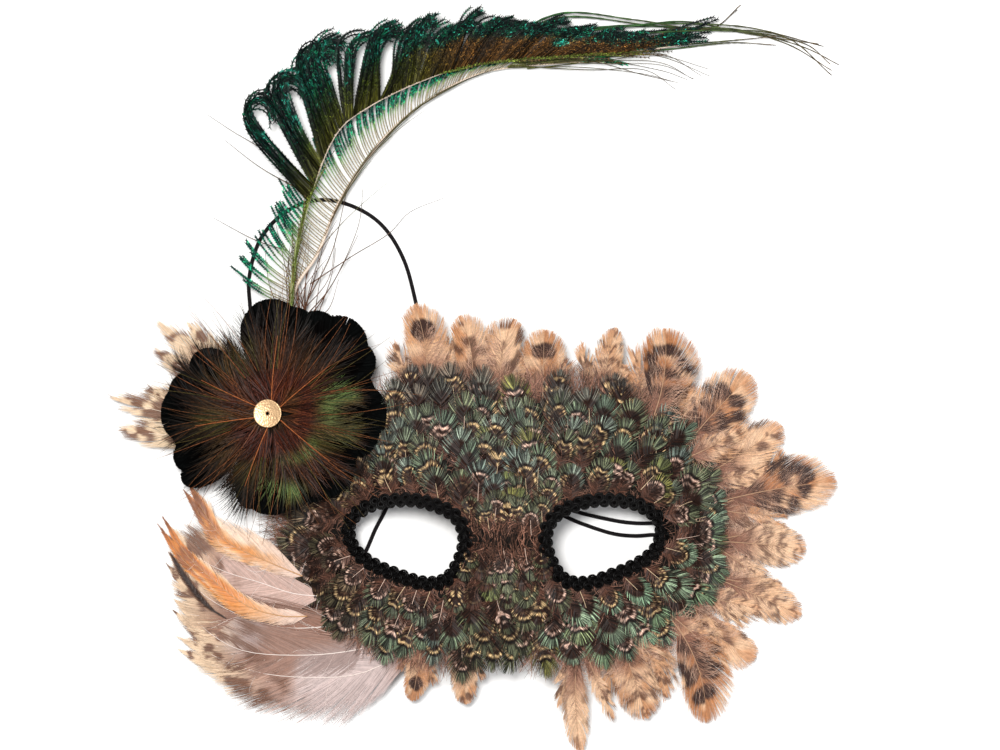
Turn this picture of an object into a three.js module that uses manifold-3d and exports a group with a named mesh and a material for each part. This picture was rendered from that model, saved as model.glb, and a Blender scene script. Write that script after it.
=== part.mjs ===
// A feathered venetian half mask, lying face up. Millimetres, +Z up out of the face,
// +X across the mask, +Y up the forehead. While it is built, (0, 0) is the bridge of the nose
// at eye level and z = 0 is the table; the finished group is then centred on its own base.
import * as THREE from 'three';
import * as BufferGeometryUtils from 'three/addons/utils/BufferGeometryUtils.js';
import Module from 'manifold-3d';

const wasm = await Module();
wasm.setup();

// The moulded face
const FACE_DEPTH = 28;
const TEMPLE_X = 70; // beyond this the temples lie flat on the table
const FACE_ROUNDNESS = 2.4;
const BROW_BEND = 0.00012;
const BROW_LIFT = 0.14; // the brow's corners rise off the table by this slope
const LIFT_FROM_Y = 8;
const NOSE_RISE = 8;
const NOSE_HALF_WIDTH = 13;
const NOSE_Y = -14;
const NOSE_HALF_LENGTH = 26;
const GRID_STEP = TEMPLE_X / 8;
const GRID_X = 10 * GRID_STEP;
const GRID_Y = [LIFT_FROM_Y - 6 * GRID_STEP, LIFT_FROM_Y + 6 * GRID_STEP];

// What lies on what, as heights above the back of the lining
const GAP = 0.3;
const LINING = 0.8;
const SHELL = 2;
const FEATHER_PAD = 3;
const SHELL_BACK = LINING + GAP;
const SHELL_FRONT = SHELL_BACK + SHELL;
const PAD_BACK = SHELL_FRONT + GAP;

// The openings, their braid and the covering of small feathers
const BRAID_WIDTH = 4.4;
const BRAID_HEIGHT = 2.6;
const HOLE_MARGIN = 0.6;
const LINING_INSET = 1.5;
const PAD_INSET = 8;
const RIM_ROOT_INSET = 5.5;
const PAD_NOSE_X = 13;
const PAD_NOSE_TOP = 18;
const PAD_TEMPLE_X = 56;

// The elastic cord
const CORD = 1.4;
const CORD_HOLE = 1.3;
const CORD_Z = 0.85;
const LEFT_HOLES = [[-63, -5], [-63, -11]];
const RIGHT_HOLES = [[63, 6.4], [63, 1]];

// The rosette
const ROSETTE = new THREE.Vector3(-82.8, 45.7, 18.5);
const ROSETTE_TILT = 0.2;
const DISC_RADIUS = 22;
const DISC_HEIGHT = 1.4;
const SEQUIN_RADIUS = 5;
const SEQUIN_HOLE = 0.6;

// The right half of the mask's edge, from the middle of the forehead down to the nose
const HALF_EDGE = [
  [0, 50], [24, 53], [46, 47], [64, 33], [75, 16], [78, 2], [76, -11],
  [66, -22], [48, -31], [30, -37], [14, -38], [0, -34],
];
// The right eye opening, from its inner corner over the top and back
const EYE = [
  [16.5, 0], [19.5, 8], [30, 12.3], [39, 12.6], [47, 11], [53.5, 6],
  [52.5, -1], [46.5, -6], [37, -10], [28, -12.5], [21, -10.5],
];

const MATERIALS = {
  lining: ['#2b2624', 0.95],
  shell: ['#1d1a19', 0.7],
  braid: ['#120e10', 0.75],
  pheasant: ['#4c4232', 0.7],
  tan: ['#b98a63', 0.8],
  hackle: ['#d9cabd', 0.65],
  golden: ['#c98a4c', 0.6],
  felt: ['#171413', 0.95],
  petal: ['#120f10', 0.6],
  bronze: ['#4a2f1c', 0.5],
  sequin: ['#d8bd8c', 0.3, 0.9],
  quill: ['#b7a28c', 0.5],
  peacock: ['#1f4a3c', 0.45],
  elastic: ['#101010', 0.8],
};

const part = new THREE.Group();

function add(parent, name, geometry, slot) {
  const [color, roughness, metalness = 0] = MATERIALS[slot];
  const material = new THREE.MeshStandardMaterial({ color, roughness, metalness });
  const mesh = new THREE.Mesh(geometry, material);
  mesh.name = name;
  parent.add(mesh);
  return mesh;
}

// ---------------------------------------------------------------- solids

function welded(geometry) {
  const bare = geometry.index ? geometry.clone() : geometry;
  bare.deleteAttribute('normal');
  bare.deleteAttribute('uv');
  return BufferGeometryUtils.mergeVertices(bare, 1e-4);
}

function solid(geometry) {
  const merged = welded(geometry);
  return new wasm.Manifold(new wasm.Mesh({
    numProp: 3,
    vertProperties: new Float32Array(merged.attributes.position.array),
    triVerts: new Uint32Array(merged.index.array),
  }));
}

function surface(manifold) {
  const mesh = manifold.getMesh();
  return meshOf(Array.from(mesh.vertProperties), Array.from(mesh.triVerts));
}

function meshOf(positions, index) {
  const geometry = new THREE.BufferGeometry();
  geometry.setAttribute('position', new THREE.Float32BufferAttribute(positions, 3));
  geometry.setIndex(index);
  geometry.computeVertexNormals();
  return geometry;
}

// ---------------------------------------------------------------- the face

function bell(t) {
  return Math.exp(-t * t);
}

// Height of the back of the lining above the table
function face(x, y) {
  const across = Math.max(0, 1 - Math.pow(Math.abs(x) / TEMPLE_X, FACE_ROUNDNESS));
  const along = 1 - BROW_BEND * (y - 5) ** 2;
  const nose = NOSE_RISE * bell(x / NOSE_HALF_WIDTH) * bell((y - NOSE_Y) / NOSE_HALF_LENGTH);
  const lift = BROW_LIFT * Math.max(0, y - LIFT_FROM_Y);
  return FACE_DEPTH * across * along + nose * Math.min(1, across * 4) + lift;
}

// A sheet that follows the face, between two heights above it
function faceSlab(lower, upper) {
  const columns = Math.round((2 * GRID_X) / GRID_STEP);
  const rows = Math.round((GRID_Y[1] - GRID_Y[0]) / GRID_STEP);
  const layer = (columns + 1) * (rows + 1);
  const positions = [];
  for (const height of [lower, upper]) {
    for (let j = 0; j <= rows; j++) {
      for (let i = 0; i <= columns; i++) {
        const x = -GRID_X + i * GRID_STEP;
        const y = GRID_Y[0] + j * GRID_STEP;
        positions.push(x, y, face(x, y) + height);
      }
    }
  }
  const at = (i, j) => j * (columns + 1) + i;
  const index = [];
  const wall = (a, b) => index.push(a, b, b + layer, a, b + layer, a + layer);
  for (let j = 0; j < rows; j++) {
    for (let i = 0; i < columns; i++) {
      const [a, b, c, d] = [at(i, j), at(i + 1, j), at(i + 1, j + 1), at(i, j + 1)];
      index.push(a + layer, b + layer, c + layer, a + layer, c + layer, d + layer);
      index.push(a, c, b, a, d, c);
    }
  }
  for (let i = 0; i < columns; i++) {
    wall(at(i, 0), at(i + 1, 0));
    wall(at(i + 1, rows), at(i, rows));
  }
  for (let j = 0; j < rows; j++) {
    wall(at(columns, j), at(columns, j + 1));
    wall(at(0, j + 1), at(0, j));
  }
  return solid(meshOf(positions, index));
}

// ---------------------------------------------------------------- outlines

function smoothLoop(corners, count) {
  const points = corners.map(([x, y]) => new THREE.Vector3(x, y, 0));
  const curve = new THREE.CatmullRomCurve3(points, true, 'centripetal');
  return curve.getSpacedPoints(count).slice(0, -1).map((p) => new THREE.Vector2(p.x, p.y));
}

// The loop moved outwards by a distance, or inwards where it is negative
function offsetLoop(loop, distance) {
  const turn = THREE.ShapeUtils.isClockWise(loop) ? 1 : -1;
  return loop.map((p, i) => {
    const before = loop[(i + loop.length - 1) % loop.length];
    const after = loop[(i + 1) % loop.length];
    const along = after.clone().sub(before).normalize();
    return new THREE.Vector2(p.x - turn * distance * along.y, p.y + turn * distance * along.x);
  });
}

function mirrored(corners) {
  return corners.map(([x, y]) => [-x, y]);
}

function inside(loop, x, y) {
  let odd = false;
  loop.forEach((a, i) => {
    const b = loop[(i + 1) % loop.length];
    const crosses = a.y > y !== b.y > y;
    if (crosses && x < a.x + ((y - a.y) / (b.y - a.y)) * (b.x - a.x)) odd = !odd;
  });
  return odd;
}

function prism(outer, holes = []) {
  const shape = new THREE.Shape(outer);
  const upright = new THREE.ExtrudeGeometry(shape, { depth: 90, bevelEnabled: false });
  return holes.reduce((body, hole) => body.subtract(prism(hole)), solid(upright.translate(0, 0, -10)));
}

function box(x0, y0, x1, y1) {
  return prism([[x0, y0], [x1, y0], [x1, y1], [x0, y1]].map(([x, y]) => new THREE.Vector2(x, y)));
}

function oval(x, y, halfX, halfY, count = 12) {
  const curve = new THREE.EllipseCurve(x, y, halfX, halfY);
  return curve.getPoints(count).slice(0, -1);
}

const LEFT_EDGE = mirrored(HALF_EDGE).slice(1, -1).reverse();
const edge = smoothLoop([...HALF_EDGE, ...LEFT_EDGE], 64);
const eyes = { right: smoothLoop(EYE, 26), left: smoothLoop(mirrored(EYE), 26) };
const eyeHoles = Object.values(eyes);

// ---------------------------------------------------------------- shell, lining and pads

function cordHoles() {
  return [...LEFT_HOLES, ...RIGHT_HOLES].map(([x, y]) => oval(x, y, CORD_HOLE, CORD_HOLE, 8));
}

function addShell() {
  const wider = eyeHoles.map((loop) => offsetLoop(loop, HOLE_MARGIN));
  const shell = faceSlab(SHELL_BACK, SHELL_FRONT).intersect(prism(edge, [...wider, ...cordHoles()]));
  add(part, 'mask_shell', surface(shell), 'shell');
  const widest = eyeHoles.map((loop) => offsetLoop(loop, 2 * HOLE_MARGIN));
  const trimmed = offsetLoop(edge, -LINING_INSET);
  const lining = faceSlab(0, LINING).intersect(prism(trimmed, [...widest, ...cordHoles()]));
  add(part, 'back_lining', surface(lining), 'lining');
}

// The small overlapping feathers are one soft layer, parted into the areas they are laid in
function addFeatherPads() {
  const around = eyeHoles.map((loop) => offsetLoop(loop, BRAID_WIDTH + GAP));
  const pockets = [oval(-63, -8, 2, 6), oval(63, 3.7, 3.2, 5)];
  const layer = faceSlab(PAD_BACK, PAD_BACK + FEATHER_PAD)
    .intersect(prism(offsetLoop(edge, -PAD_INSET), [...around, ...pockets]));
  const far = 90;
  const half = GAP / 2;
  const nose = box(-PAD_NOSE_X, -far, PAD_NOSE_X, PAD_NOSE_TOP);
  const noseRoom = box(-PAD_NOSE_X - GAP, -far, PAD_NOSE_X + GAP, PAD_NOSE_TOP + GAP);
  const brow = box(-PAD_TEMPLE_X + half, 0, PAD_TEMPLE_X - half, far);
  add(part, 'nose_feathers', surface(layer.intersect(nose)), 'pheasant');
  add(part, 'forehead_feathers', surface(layer.intersect(brow).subtract(noseRoom)), 'pheasant');
  const cheeks = {
    left: box(-PAD_TEMPLE_X + half, -far, -PAD_NOSE_X - GAP, -GAP),
    right: box(PAD_NOSE_X + GAP, -far, PAD_TEMPLE_X - half, -GAP),
  };
  const temples = {
    left: box(-far, -far, -PAD_TEMPLE_X - half, far),
    right: box(PAD_TEMPLE_X + half, -far, far, far),
  };
  for (const side of ['left', 'right']) {
    add(part, `${side}_cheek_feathers`, surface(layer.intersect(cheeks[side])), 'pheasant');
    add(part, `${side}_temple_feathers`, surface(layer.intersect(temples[side])), 'pheasant');
  }
}

// A braid lies on the shell round its opening: a low arched section carried round the loop
function addBraid(side) {
  const loop = eyes[side];
  const section = [
    [0, 0], [BRAID_WIDTH, 0], [BRAID_WIDTH, 0.55 * BRAID_HEIGHT],
    [0.6 * BRAID_WIDTH, BRAID_HEIGHT], [0.4 * BRAID_WIDTH, BRAID_HEIGHT],
    [0, 0.55 * BRAID_HEIGHT],
  ];
  const rings = section.map(([out, up]) => offsetLoop(loop, out)
    .map((p) => [p.x, p.y, face(p.x, p.y) + PAD_BACK + GAP + up]));
  const count = loop.length;
  const positions = rings.flat(2);
  const clockwise = THREE.ShapeUtils.isClockWise(loop);
  const index = [];
  for (let k = 0; k < section.length; k++) {
    const next = (k + 1) % section.length;
    for (let i = 0; i < count; i++) {
      const j = (i + 1) % count;
      const quad = [k * count + i, k * count + j, next * count + j, next * count + i];
      if (clockwise) quad.reverse();
      index.push(quad[0], quad[1], quad[2], quad[0], quad[2], quad[3]);
    }
  }
  add(part, `${side}_eye_braid`, meshOf(positions, index), 'braid');
}

// ---------------------------------------------------------------- feathers

const SHAPES = {
  paddle: (u) => Math.sin(Math.PI * u ** 1.5) ** 0.7,
  lance: (u) => Math.sin(Math.PI * u ** 0.8) ** 0.8,
  petal: (u) => Math.sin(Math.PI * u ** 2.2) ** 0.6,
  quill: (u) => 1.15 - u,
};

// A thin blade of lens-shaped section along a bent line, pointed at both ends
function blade(points, width, thickness, shape, steps = 6) {
  const line = new THREE.CatmullRomCurve3(points.map((p) => new THREE.Vector3(...p)));
  const positions = [...line.getPointAt(0)];
  for (let i = 1; i < steps; i++) {
    const u = i / steps;
    const centre = line.getPointAt(u);
    const tangent = line.getTangentAt(u);
    const side = new THREE.Vector3(0, 0, 1).cross(tangent).normalize();
    const up = tangent.clone().cross(side);
    const half = (width / 2) * SHAPES[shape](u);
    const rise = (thickness / 2) * Math.min(1, SHAPES[shape](u) + 0.2);
    positions.push(...centre.clone().addScaledVector(side, half));
    positions.push(...centre.clone().addScaledVector(up, rise));
    positions.push(...centre.clone().addScaledVector(side, -half));
    positions.push(...centre.clone().addScaledVector(up, -rise));
  }
  positions.push(...line.getPointAt(1));
  const last = 1 + 4 * (steps - 1);
  const index = [];
  for (let k = 0; k < 4; k++) {
    const next = (k + 1) % 4;
    index.push(0, 1 + next, 1 + k);
    for (let i = 0; i < steps - 2; i++) {
      const a = 1 + 4 * i;
      index.push(a + k, a + next, a + 4 + next, a + k, a + 4 + next, a + 4 + k);
    }
    index.push(last - 4 + k, last - 4 + next, last);
  }
  return meshOf(positions, index);
}

// Feathers glued on the shell's rim: where each tip is, how wide it is, and how high its tip lies
const RIM_TIPS = [
  [-32, 84, 13, 13], [-15, 80, 13, 14], [0, 79, 12, 15], [15, 75, 12, 14], [38, 76, 15, 13],
  [59, 75, 17, 10], [85, 61, 17, 7], [98, 42, 15, 6], [117, 25, 17, 6], [107, -5, 14, 5],
  [104, -30, 14, 5], [89, -42, 13, 5], [73, -64, 15, 5], [47, -64, 13, 9], [31, -75, 12, 8],
  [-16, -58, 13, 11], [-33, -57, 12, 10],
];
const HUB_X = 42; // the rim feathers point away from a line of this half length

function addRimFeathers() {
  const rootLoop = offsetLoop(edge, -RIM_ROOT_INSET);
  RIM_TIPS.forEach(([x, y, width, z], i) => {
    const hub = new THREE.Vector2(THREE.MathUtils.clamp(0.72 * x, -HUB_X, HUB_X), 4);
    const step = new THREE.Vector2(hub.x - x, hub.y - y).normalize();
    const root = new THREE.Vector2(x, y);
    while (!inside(rootLoop, root.x, root.y)) root.addScaledVector(step, 0.5);
    const onEdge = root.clone().addScaledVector(step, -9);
    const lie = (p, more) => [p.x, p.y, face(p.x, p.y) + PAD_BACK + more];
    const points = [lie(root, 1.1), lie(onEdge, 2), [x, y, z]];
    add(part, `rim_feather_${i + 1}`, blade(points, width, 1.6, 'paddle'), 'tan');
  });
}

// Two paler rim feathers that show behind the rosette
function addCornerFeathers() {
  const tips = [[-122, 76, 8], [-137, 50, 7]];
  tips.forEach(([x, y, z], i) => {
    const points = [[-82, 40 - 16 * i, 7], [-101, 58 - 19 * i, 8], [x, y, z]];
    add(part, `corner_feather_${i + 1}`, blade(points, 14, 1.6, 'lance'), 'hackle');
  });
}

// The fan of long cock hackles at the lower left: root, middle and tip of each
const HACKLES = [
  [[-80, -6, 5.5], [-97, 2, 6], [-112, 18, 5], 'golden'],
  [[-81, -13, 5.5], [-101, -8, 7], [-123, 6, 5], 'golden'],
  [[-79, -19, 5.5], [-101, -18, 8], [-128, -8, 5], 'hackle'],
  [[-74, -25, 6.5], [-98, -27, 9], [-127, -22, 5], 'hackle'],
  [[-64, -31, 9.5], [-91, -38, 10], [-120, -36, 5], 'hackle'],
  [[-50, -38, 14.5], [-79, -50, 12], [-108, -52, 5], 'hackle'],
];

function addHackles() {
  HACKLES.forEach(([root, middle, tip, slot], i) => {
    const line = [root, middle, tip];
    add(part, `hackle_${i + 1}`, blade(line, 12, 1.6, 'lance', 8), slot);
  });
}

// ---------------------------------------------------------------- rosette

const PETAL_LENGTHS = [41, 44, 40, 37, 40, 40, 36, 37]; // from the right, anticlockwise

function radial(angle, stations) {
  return stations.map(([r, z]) => [r * Math.cos(angle), r * Math.sin(angle), z]);
}

function addRosette() {
  const rosette = new THREE.Group();
  rosette.position.copy(ROSETTE);
  rosette.rotation.y = -Math.atan(ROSETTE_TILT);
  part.add(rosette);
  const disc = new THREE.CylinderGeometry(DISC_RADIUS, DISC_RADIUS, DISC_HEIGHT, 24);
  disc.rotateX(Math.PI / 2).translate(0, 0, -DISC_HEIGHT / 2);
  add(rosette, 'rosette_disc', disc, 'felt');
  const turn = (2 * Math.PI) / PETAL_LENGTHS.length;
  PETAL_LENGTHS.forEach((length, i) => {
    const line = radial(i * turn, [[7, 1.2], [length / 2, 3], [length, 2.2]]);
    add(rosette, `petal_${i + 1}`, blade(line, 23, 1.8, 'petal'), 'petal');
  });
  for (let i = 0; i < 6; i++) {
    const line = radial((i + 0.5) * (Math.PI / 3), [[4, 5], [20, 7.5], [37, 6.5]]);
    add(rosette, `bronze_feather_${i + 1}`, blade(line, 15, 1.8, 'lance'), 'bronze');
  }
  const profile = [
    [SEQUIN_HOLE, 0], [SEQUIN_RADIUS, 0.5], [SEQUIN_RADIUS, 0.9], [0.6 * SEQUIN_RADIUS, 0.8],
    [SEQUIN_HOLE, 0.4], [SEQUIN_HOLE, 0],
  ];
  const sequin = new THREE.LatheGeometry(profile.map(([r, z]) => new THREE.Vector2(r, z)), 20);
  add(rosette, 'sequin', sequin.rotateX(Math.PI / 2).translate(0, 0, 8.6), 'sequin');
}

// ---------------------------------------------------------------- peacock swords

// Two sword feathers curve up from under the rosette and over to the right
const UPPER_QUILL = [
  [-77, 54, 12], [-76.5, 86, 13], [-73, 112, 14], [-62, 143.6, 14.2], [-47.9, 156.2, 13.6],
  [-24.5, 167, 12], [-5, 171.7, 10.4], [19, 174, 8.3], [48, 176, 5.4], [67, 178.5, 3.6],
];
const LOWER_QUILL = [
  [-80.5, 58, 8.6], [-76, 88, 8.6], [-67.3, 103, 8.4], [-59, 122.4, 8], [-45, 142.9, 7.2],
  [-29.2, 157, 6.2], [-9, 167.8, 4.8], [19, 171.4, 3.2], [41, 172, 2.2],
];
const UPPER_VANE = [
  [-77, 120, 16], [-77, 146, 16.5], [-58, 166, 16], [-28, 174, 14.4], [5, 177, 11.6],
  [35, 176, 8.6], [70, 178, 5.2], [118, 178, 1],
];
const LOWER_VANE = [
  [-88, 88, 11], [-80, 112, 10.8], [-66, 136, 10.4], [-46, 156, 9.5], [-18, 166, 7.6],
  [10, 168.5, 5.6], [50, 168, 3],
];

function addSwords() {
  add(part, 'upper_sword_quill', blade(UPPER_QUILL, 2, 2, 'quill', 18), 'quill');
  add(part, 'lower_sword_quill', blade(LOWER_QUILL, 2, 2, 'quill', 18), 'quill');
  add(part, 'upper_sword_vane', blade(UPPER_VANE, 36, 1.2, 'lance', 16), 'peacock');
  add(part, 'lower_sword_vane', blade(LOWER_VANE, 26, 1.2, 'lance', 16), 'peacock');
}

// ---------------------------------------------------------------- elastic cord

// Each strand comes up through the shell at both ends and lies on the table between
const LONG_STRAND = [
  [63, 6.4, 9.7], [63, 6.4, 6.5], [62.2, 6.3, 3], [59, 6.2, CORD_Z + 0.2], [54.2, 6.1, CORD_Z],
  [46.8, 6.1, CORD_Z], [38.5, 7.2, CORD_Z], [23.8, 10.8, CORD_Z], [12, 16.3, CORD_Z],
  [1, 22.7, CORD_Z], [-9, 31, CORD_Z], [-17.5, 41.5, CORD_Z], [-24, 54, CORD_Z],
  [-28.8, 68.5, CORD_Z], [-32, 85, CORD_Z], [-36.4, 100.8, CORD_Z], [-44, 113, CORD_Z],
  [-54.5, 120, CORD_Z], [-66.6, 122.4, CORD_Z], [-78.5, 118.4, CORD_Z], [-87.8, 108.7, CORD_Z],
  [-92, 95, CORD_Z], [-91.6, 82, CORD_Z], [-90, 62, CORD_Z], [-86, 43, CORD_Z],
  [-79, 31.5, CORD_Z], [-71.5, 25, CORD_Z], [-65.5, 17, CORD_Z], [-63.2, 7, CORD_Z],
  [-63, -0.5, CORD_Z + 0.2], [-63, -4, 3], [-63, -5, 6.5], [-63, -5, 9.7],
];
const SHORT_STRAND = [
  [63, 1, 9.7], [63, 1, 6.5], [62.2, 1, 3], [59, 1.1, CORD_Z + 0.2], [53.6, 1.9, CORD_Z],
  [46.8, 1.5, CORD_Z], [38.5, 2.4, CORD_Z], [27.7, 5.9, CORD_Z], [20.5, 9, CORD_Z],
  [10, 13.8, CORD_Z], [0, 19.6, CORD_Z], [-8, 25.7, CORD_Z], [-15, 31.6, CORD_Z],
  [-22, 34.6, CORD_Z], [-29.3, 32.6, CORD_Z], [-35, 26.6, CORD_Z], [-39.5, 18.6, CORD_Z],
  [-42.8, 11.2, CORD_Z], [-46.6, 4, CORD_Z], [-50.4, -4.5, CORD_Z], [-54.5, -9.5, CORD_Z],
  [-59, -11, CORD_Z + 0.2], [-62.2, -11, 3], [-63, -11, 6.5], [-63, -11, 9.7],
];
const FOLD = [[-63, -5, 10.1], [-63, -5.6, 12], [-63, -8, 12.9], [-63, -10.4, 12], [-63, -11, 10.1]];

function cord(points, steps) {
  const path = new THREE.CatmullRomCurve3(points.map((p) => new THREE.Vector3(...p)));
  const section = new THREE.Shape(oval(0, 0, CORD / 2, CORD / 2, 8));
  return new THREE.ExtrudeGeometry(section, { steps, extrudePath: path, bevelEnabled: false });
}

function addElastic() {
  add(part, 'elastic_strand_long', cord(LONG_STRAND, 50), 'elastic');
  add(part, 'elastic_strand_short', cord(SHORT_STRAND, 26), 'elastic');
  add(part, 'elastic_fold', cord(FOLD, 5), 'elastic');
  const knot = new THREE.SphereGeometry(1, 10, 6).scale(2.4, 4.2, 1.9).translate(63, 3.7, 12.1);
  add(part, 'elastic_knot', knot, 'elastic');
}

// ---------------------------------------------------------------- the whole

addShell();
addFeatherPads();
addBraid('left');
addBraid('right');
addRimFeathers();
addCornerFeathers();
addHackles();
addRosette();
addSwords();
addElastic();

// The origin is the middle of the base of everything but the free cord
function centreOnBase(group) {
  group.updateMatrixWorld(true);
  const bounds = new THREE.Box3();
  group.traverse((child) => {
    if (child.isMesh && !child.name.startsWith('elastic')) bounds.expandByObject(child);
  });
  const middle = bounds.getCenter(new THREE.Vector3());
  group.position.set(-middle.x, -middle.y, -bounds.min.z);
}

centreOnBase(part);

export default part;
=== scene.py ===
import math

import bpy
import numpy as np
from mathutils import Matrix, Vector, geometry


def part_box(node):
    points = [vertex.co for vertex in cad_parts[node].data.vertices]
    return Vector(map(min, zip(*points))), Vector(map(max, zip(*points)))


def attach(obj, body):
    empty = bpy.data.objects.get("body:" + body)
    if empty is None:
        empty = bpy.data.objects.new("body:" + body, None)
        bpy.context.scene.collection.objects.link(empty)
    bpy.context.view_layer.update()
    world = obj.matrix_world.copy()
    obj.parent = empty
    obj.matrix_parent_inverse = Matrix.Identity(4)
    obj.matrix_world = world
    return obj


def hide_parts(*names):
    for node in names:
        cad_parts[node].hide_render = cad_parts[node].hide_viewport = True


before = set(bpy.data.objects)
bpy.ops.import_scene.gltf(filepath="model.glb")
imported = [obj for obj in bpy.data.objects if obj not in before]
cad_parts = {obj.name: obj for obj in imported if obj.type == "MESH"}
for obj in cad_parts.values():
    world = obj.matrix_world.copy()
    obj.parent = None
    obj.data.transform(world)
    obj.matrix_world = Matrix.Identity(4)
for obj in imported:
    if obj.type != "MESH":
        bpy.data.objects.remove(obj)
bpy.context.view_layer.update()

chance = np.random.default_rng(11)

MM = 0.001
# How far the sequin lies above the bridge of the nose
SEQUIN_Y = 45.7
shell_low, shell_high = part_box("mask_shell")
sequin_low, sequin_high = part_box("sequin")
ORIGIN = np.array([
    (shell_low[0] + shell_high[0]) / 2,
    (sequin_low[1] + sequin_high[1]) / 2 - SEQUIN_Y * MM,
    0.0,
])

# The moulded face, as the CAD model has it
FACE_DEPTH = 28
TEMPLE_X = 70
FACE_ROUNDNESS = 2.4
BROW_BEND = 0.00012
BROW_LIFT = 0.14
LIFT_FROM_Y = 8
NOSE_RISE = 8
NOSE_HALF_WIDTH = 13
NOSE_Y = -14
NOSE_HALF_LENGTH = 26
SHELL_BACK = 1.1
SHELL_FRONT = 3.1
BRAID_WIDTH = 4.4

HALF_EDGE = [
    (0, 50), (24, 53), (46, 47), (64, 33), (75, 16), (78, 2), (76, -11),
    (66, -22), (48, -31), (30, -37), (14, -38), (0, -34),
]
EYE = [
    (16.5, 0), (19.5, 8), (30, 12.3), (39, 12.6), (47, 11), (53.5, 6),
    (52.5, -1), (46.5, -6), (37, -10), (28, -12.5), (21, -10.5),
]


def row(points):
    return np.asarray(points, float) * MM + ORIGIN


def bell(t):
    return np.exp(-t * t)


def unit(vectors, tiny=0.0):
    """Vectors scaled to length 1; tiny keeps one of no length from a division by zero."""
    return vectors / (np.linalg.norm(vectors, axis=-1, keepdims=True) + tiny)


def circle(count):
    """Even turns round a circle, in radians."""
    return np.linspace(0, 2 * np.pi, count, endpoint=False)


def rotated(x, y, angle):
    c, s = math.cos(angle), math.sin(angle)
    return x * c - y * s, x * s + y * c


def face(x, y):
    """Height of the back of the mask above the table."""
    across = np.maximum(0, 1 - (np.abs(x) / TEMPLE_X) ** FACE_ROUNDNESS)
    along = 1 - BROW_BEND * (y - 5) ** 2
    nose = NOSE_RISE * bell(x / NOSE_HALF_WIDTH) * bell((y - NOSE_Y) / NOSE_HALF_LENGTH)
    lift = BROW_LIFT * np.maximum(0, y - LIFT_FROM_Y)
    return FACE_DEPTH * across * along + nose * np.minimum(1, across * 4) + lift


# ---------------------------------------------------------------- lines and outlines

SPLINE_STEPS = 24


def spline(points, count, closed=False):
    """count evenly spaced points on a smooth line through the given ones."""
    p = np.asarray(points, float)
    if closed:
        p = np.vstack([p[-1:], p, p[:2]])
    else:
        p = np.vstack([2 * p[0] - p[1], p, 2 * p[-1] - p[-2]])
    t = np.linspace(0, 1, SPLINE_STEPS, endpoint=False)[:, None]
    line = [
        0.5 * (2 * b + (c - a) * t + (2 * a - 5 * b + 4 * c - d) * t ** 2
               + (3 * b - a - 3 * c + d) * t ** 3)
        for a, b, c, d in zip(p, p[1:], p[2:], p[3:])
    ]
    line = np.vstack(line + [p[-2:-1]])
    return evenly(line, count + closed)[:count]


def evenly(line, count):
    """The same line as count evenly spaced points."""
    run = np.r_[0, np.cumsum(np.linalg.norm(np.diff(line, axis=0), axis=1))]
    at = np.linspace(0, run[-1], count)
    return np.column_stack([np.interp(at, run, line[:, k]) for k in range(line.shape[1])])


def length_of(line):
    return float(np.linalg.norm(np.diff(line, axis=0), axis=1).sum())


def loop_directions(loop):
    """The directions along a closed loop, and those square to it, on its right."""
    along = unit(np.roll(loop, -1, 0) - np.roll(loop, 1, 0))
    return along, np.column_stack([along[:, 1], -along[:, 0]])


def winding(loop):
    """1 for a loop that runs anticlockwise, and -1 for one that runs clockwise."""
    x, y = loop.T
    return np.sign(np.sum(x * np.roll(y, -1) - np.roll(x, -1) * y))


def grown(loop, distance):
    """A closed loop moved outwards."""
    return loop + loop_directions(loop)[1] * distance * winding(loop)


def inside(loop, x, y):
    """Whether points lie in a closed loop."""
    odd = np.zeros(np.shape(x), bool)
    for (ax, ay), (bx, by) in zip(loop, np.roll(loop, -1, 0)):
        if ay == by:
            continue
        crosses = (ay > y) != (by > y)
        odd ^= crosses & (x < ax + (y - ay) / (by - ay) * (bx - ax))
    return odd


left_half = [(-x, y) for x, y in HALF_EDGE[-2:0:-1]]
edge = spline(HALF_EDGE + left_half, 160, closed=True)
eyes = {
    "right": spline(EYE, 80, closed=True),
    "left": spline([(-x, y) for x, y in EYE], 80, closed=True),
}


def in_an_eye(x, y, margin):
    return inside(grown(eyes["left"], margin), x, y) | inside(grown(eyes["right"], margin), x, y)


# ---------------------------------------------------------------- colours

def hue(code):
    return np.array([int(code[i:i + 2], 16) for i in (0, 2, 4)]) / 255


def hues(codes):
    return [hue(code) for code in codes.split()]


def to_linear(colour):
    c = np.clip(colour, 0, 1)
    return np.where(c <= 0.04045, c / 12.92, ((c + 0.055) / 1.055) ** 2.4)


def mix(a, b, share):
    return a + (b - a) * np.asarray(share)[..., None]


def rise(low, high, x):
    """A smooth step from 0 at low to 1 at high."""
    t = np.clip((x - low) / (high - low), 0, 1)
    return t * t * (3 - 2 * t)


def band(x, low, high, soft):
    """1 between low and high and 0 outside, with soft edges."""
    return rise(low - soft, low + soft, x) * (1 - rise(high - soft, high + soft, x))


def cloud(x, y, size, seed):
    """Soft value noise from 0 to 1, with patches of the given size."""
    x, y = np.asarray(x) / size + 37.1 * seed, np.asarray(y) / size - 11.7 * seed
    i, j = np.floor(x), np.floor(y)
    u, v = x - i, y - j
    u, v = u * u * (3 - 2 * u), v * v * (3 - 2 * v)

    def corner(a, b):
        # The fraction of a large sine is as good as random from one grid point to the next
        h = np.sin(a * 127.1 + b * 311.7 + seed * 74.7) * 43758.5453
        return h - np.floor(h)

    top = corner(i, j) * (1 - u) + corner(i + 1, j) * u
    bottom = corner(i, j + 1) * (1 - u) + corner(i + 1, j + 1) * u
    return top * (1 - v) + bottom * v


# ---------------------------------------------------------------- materials

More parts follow.
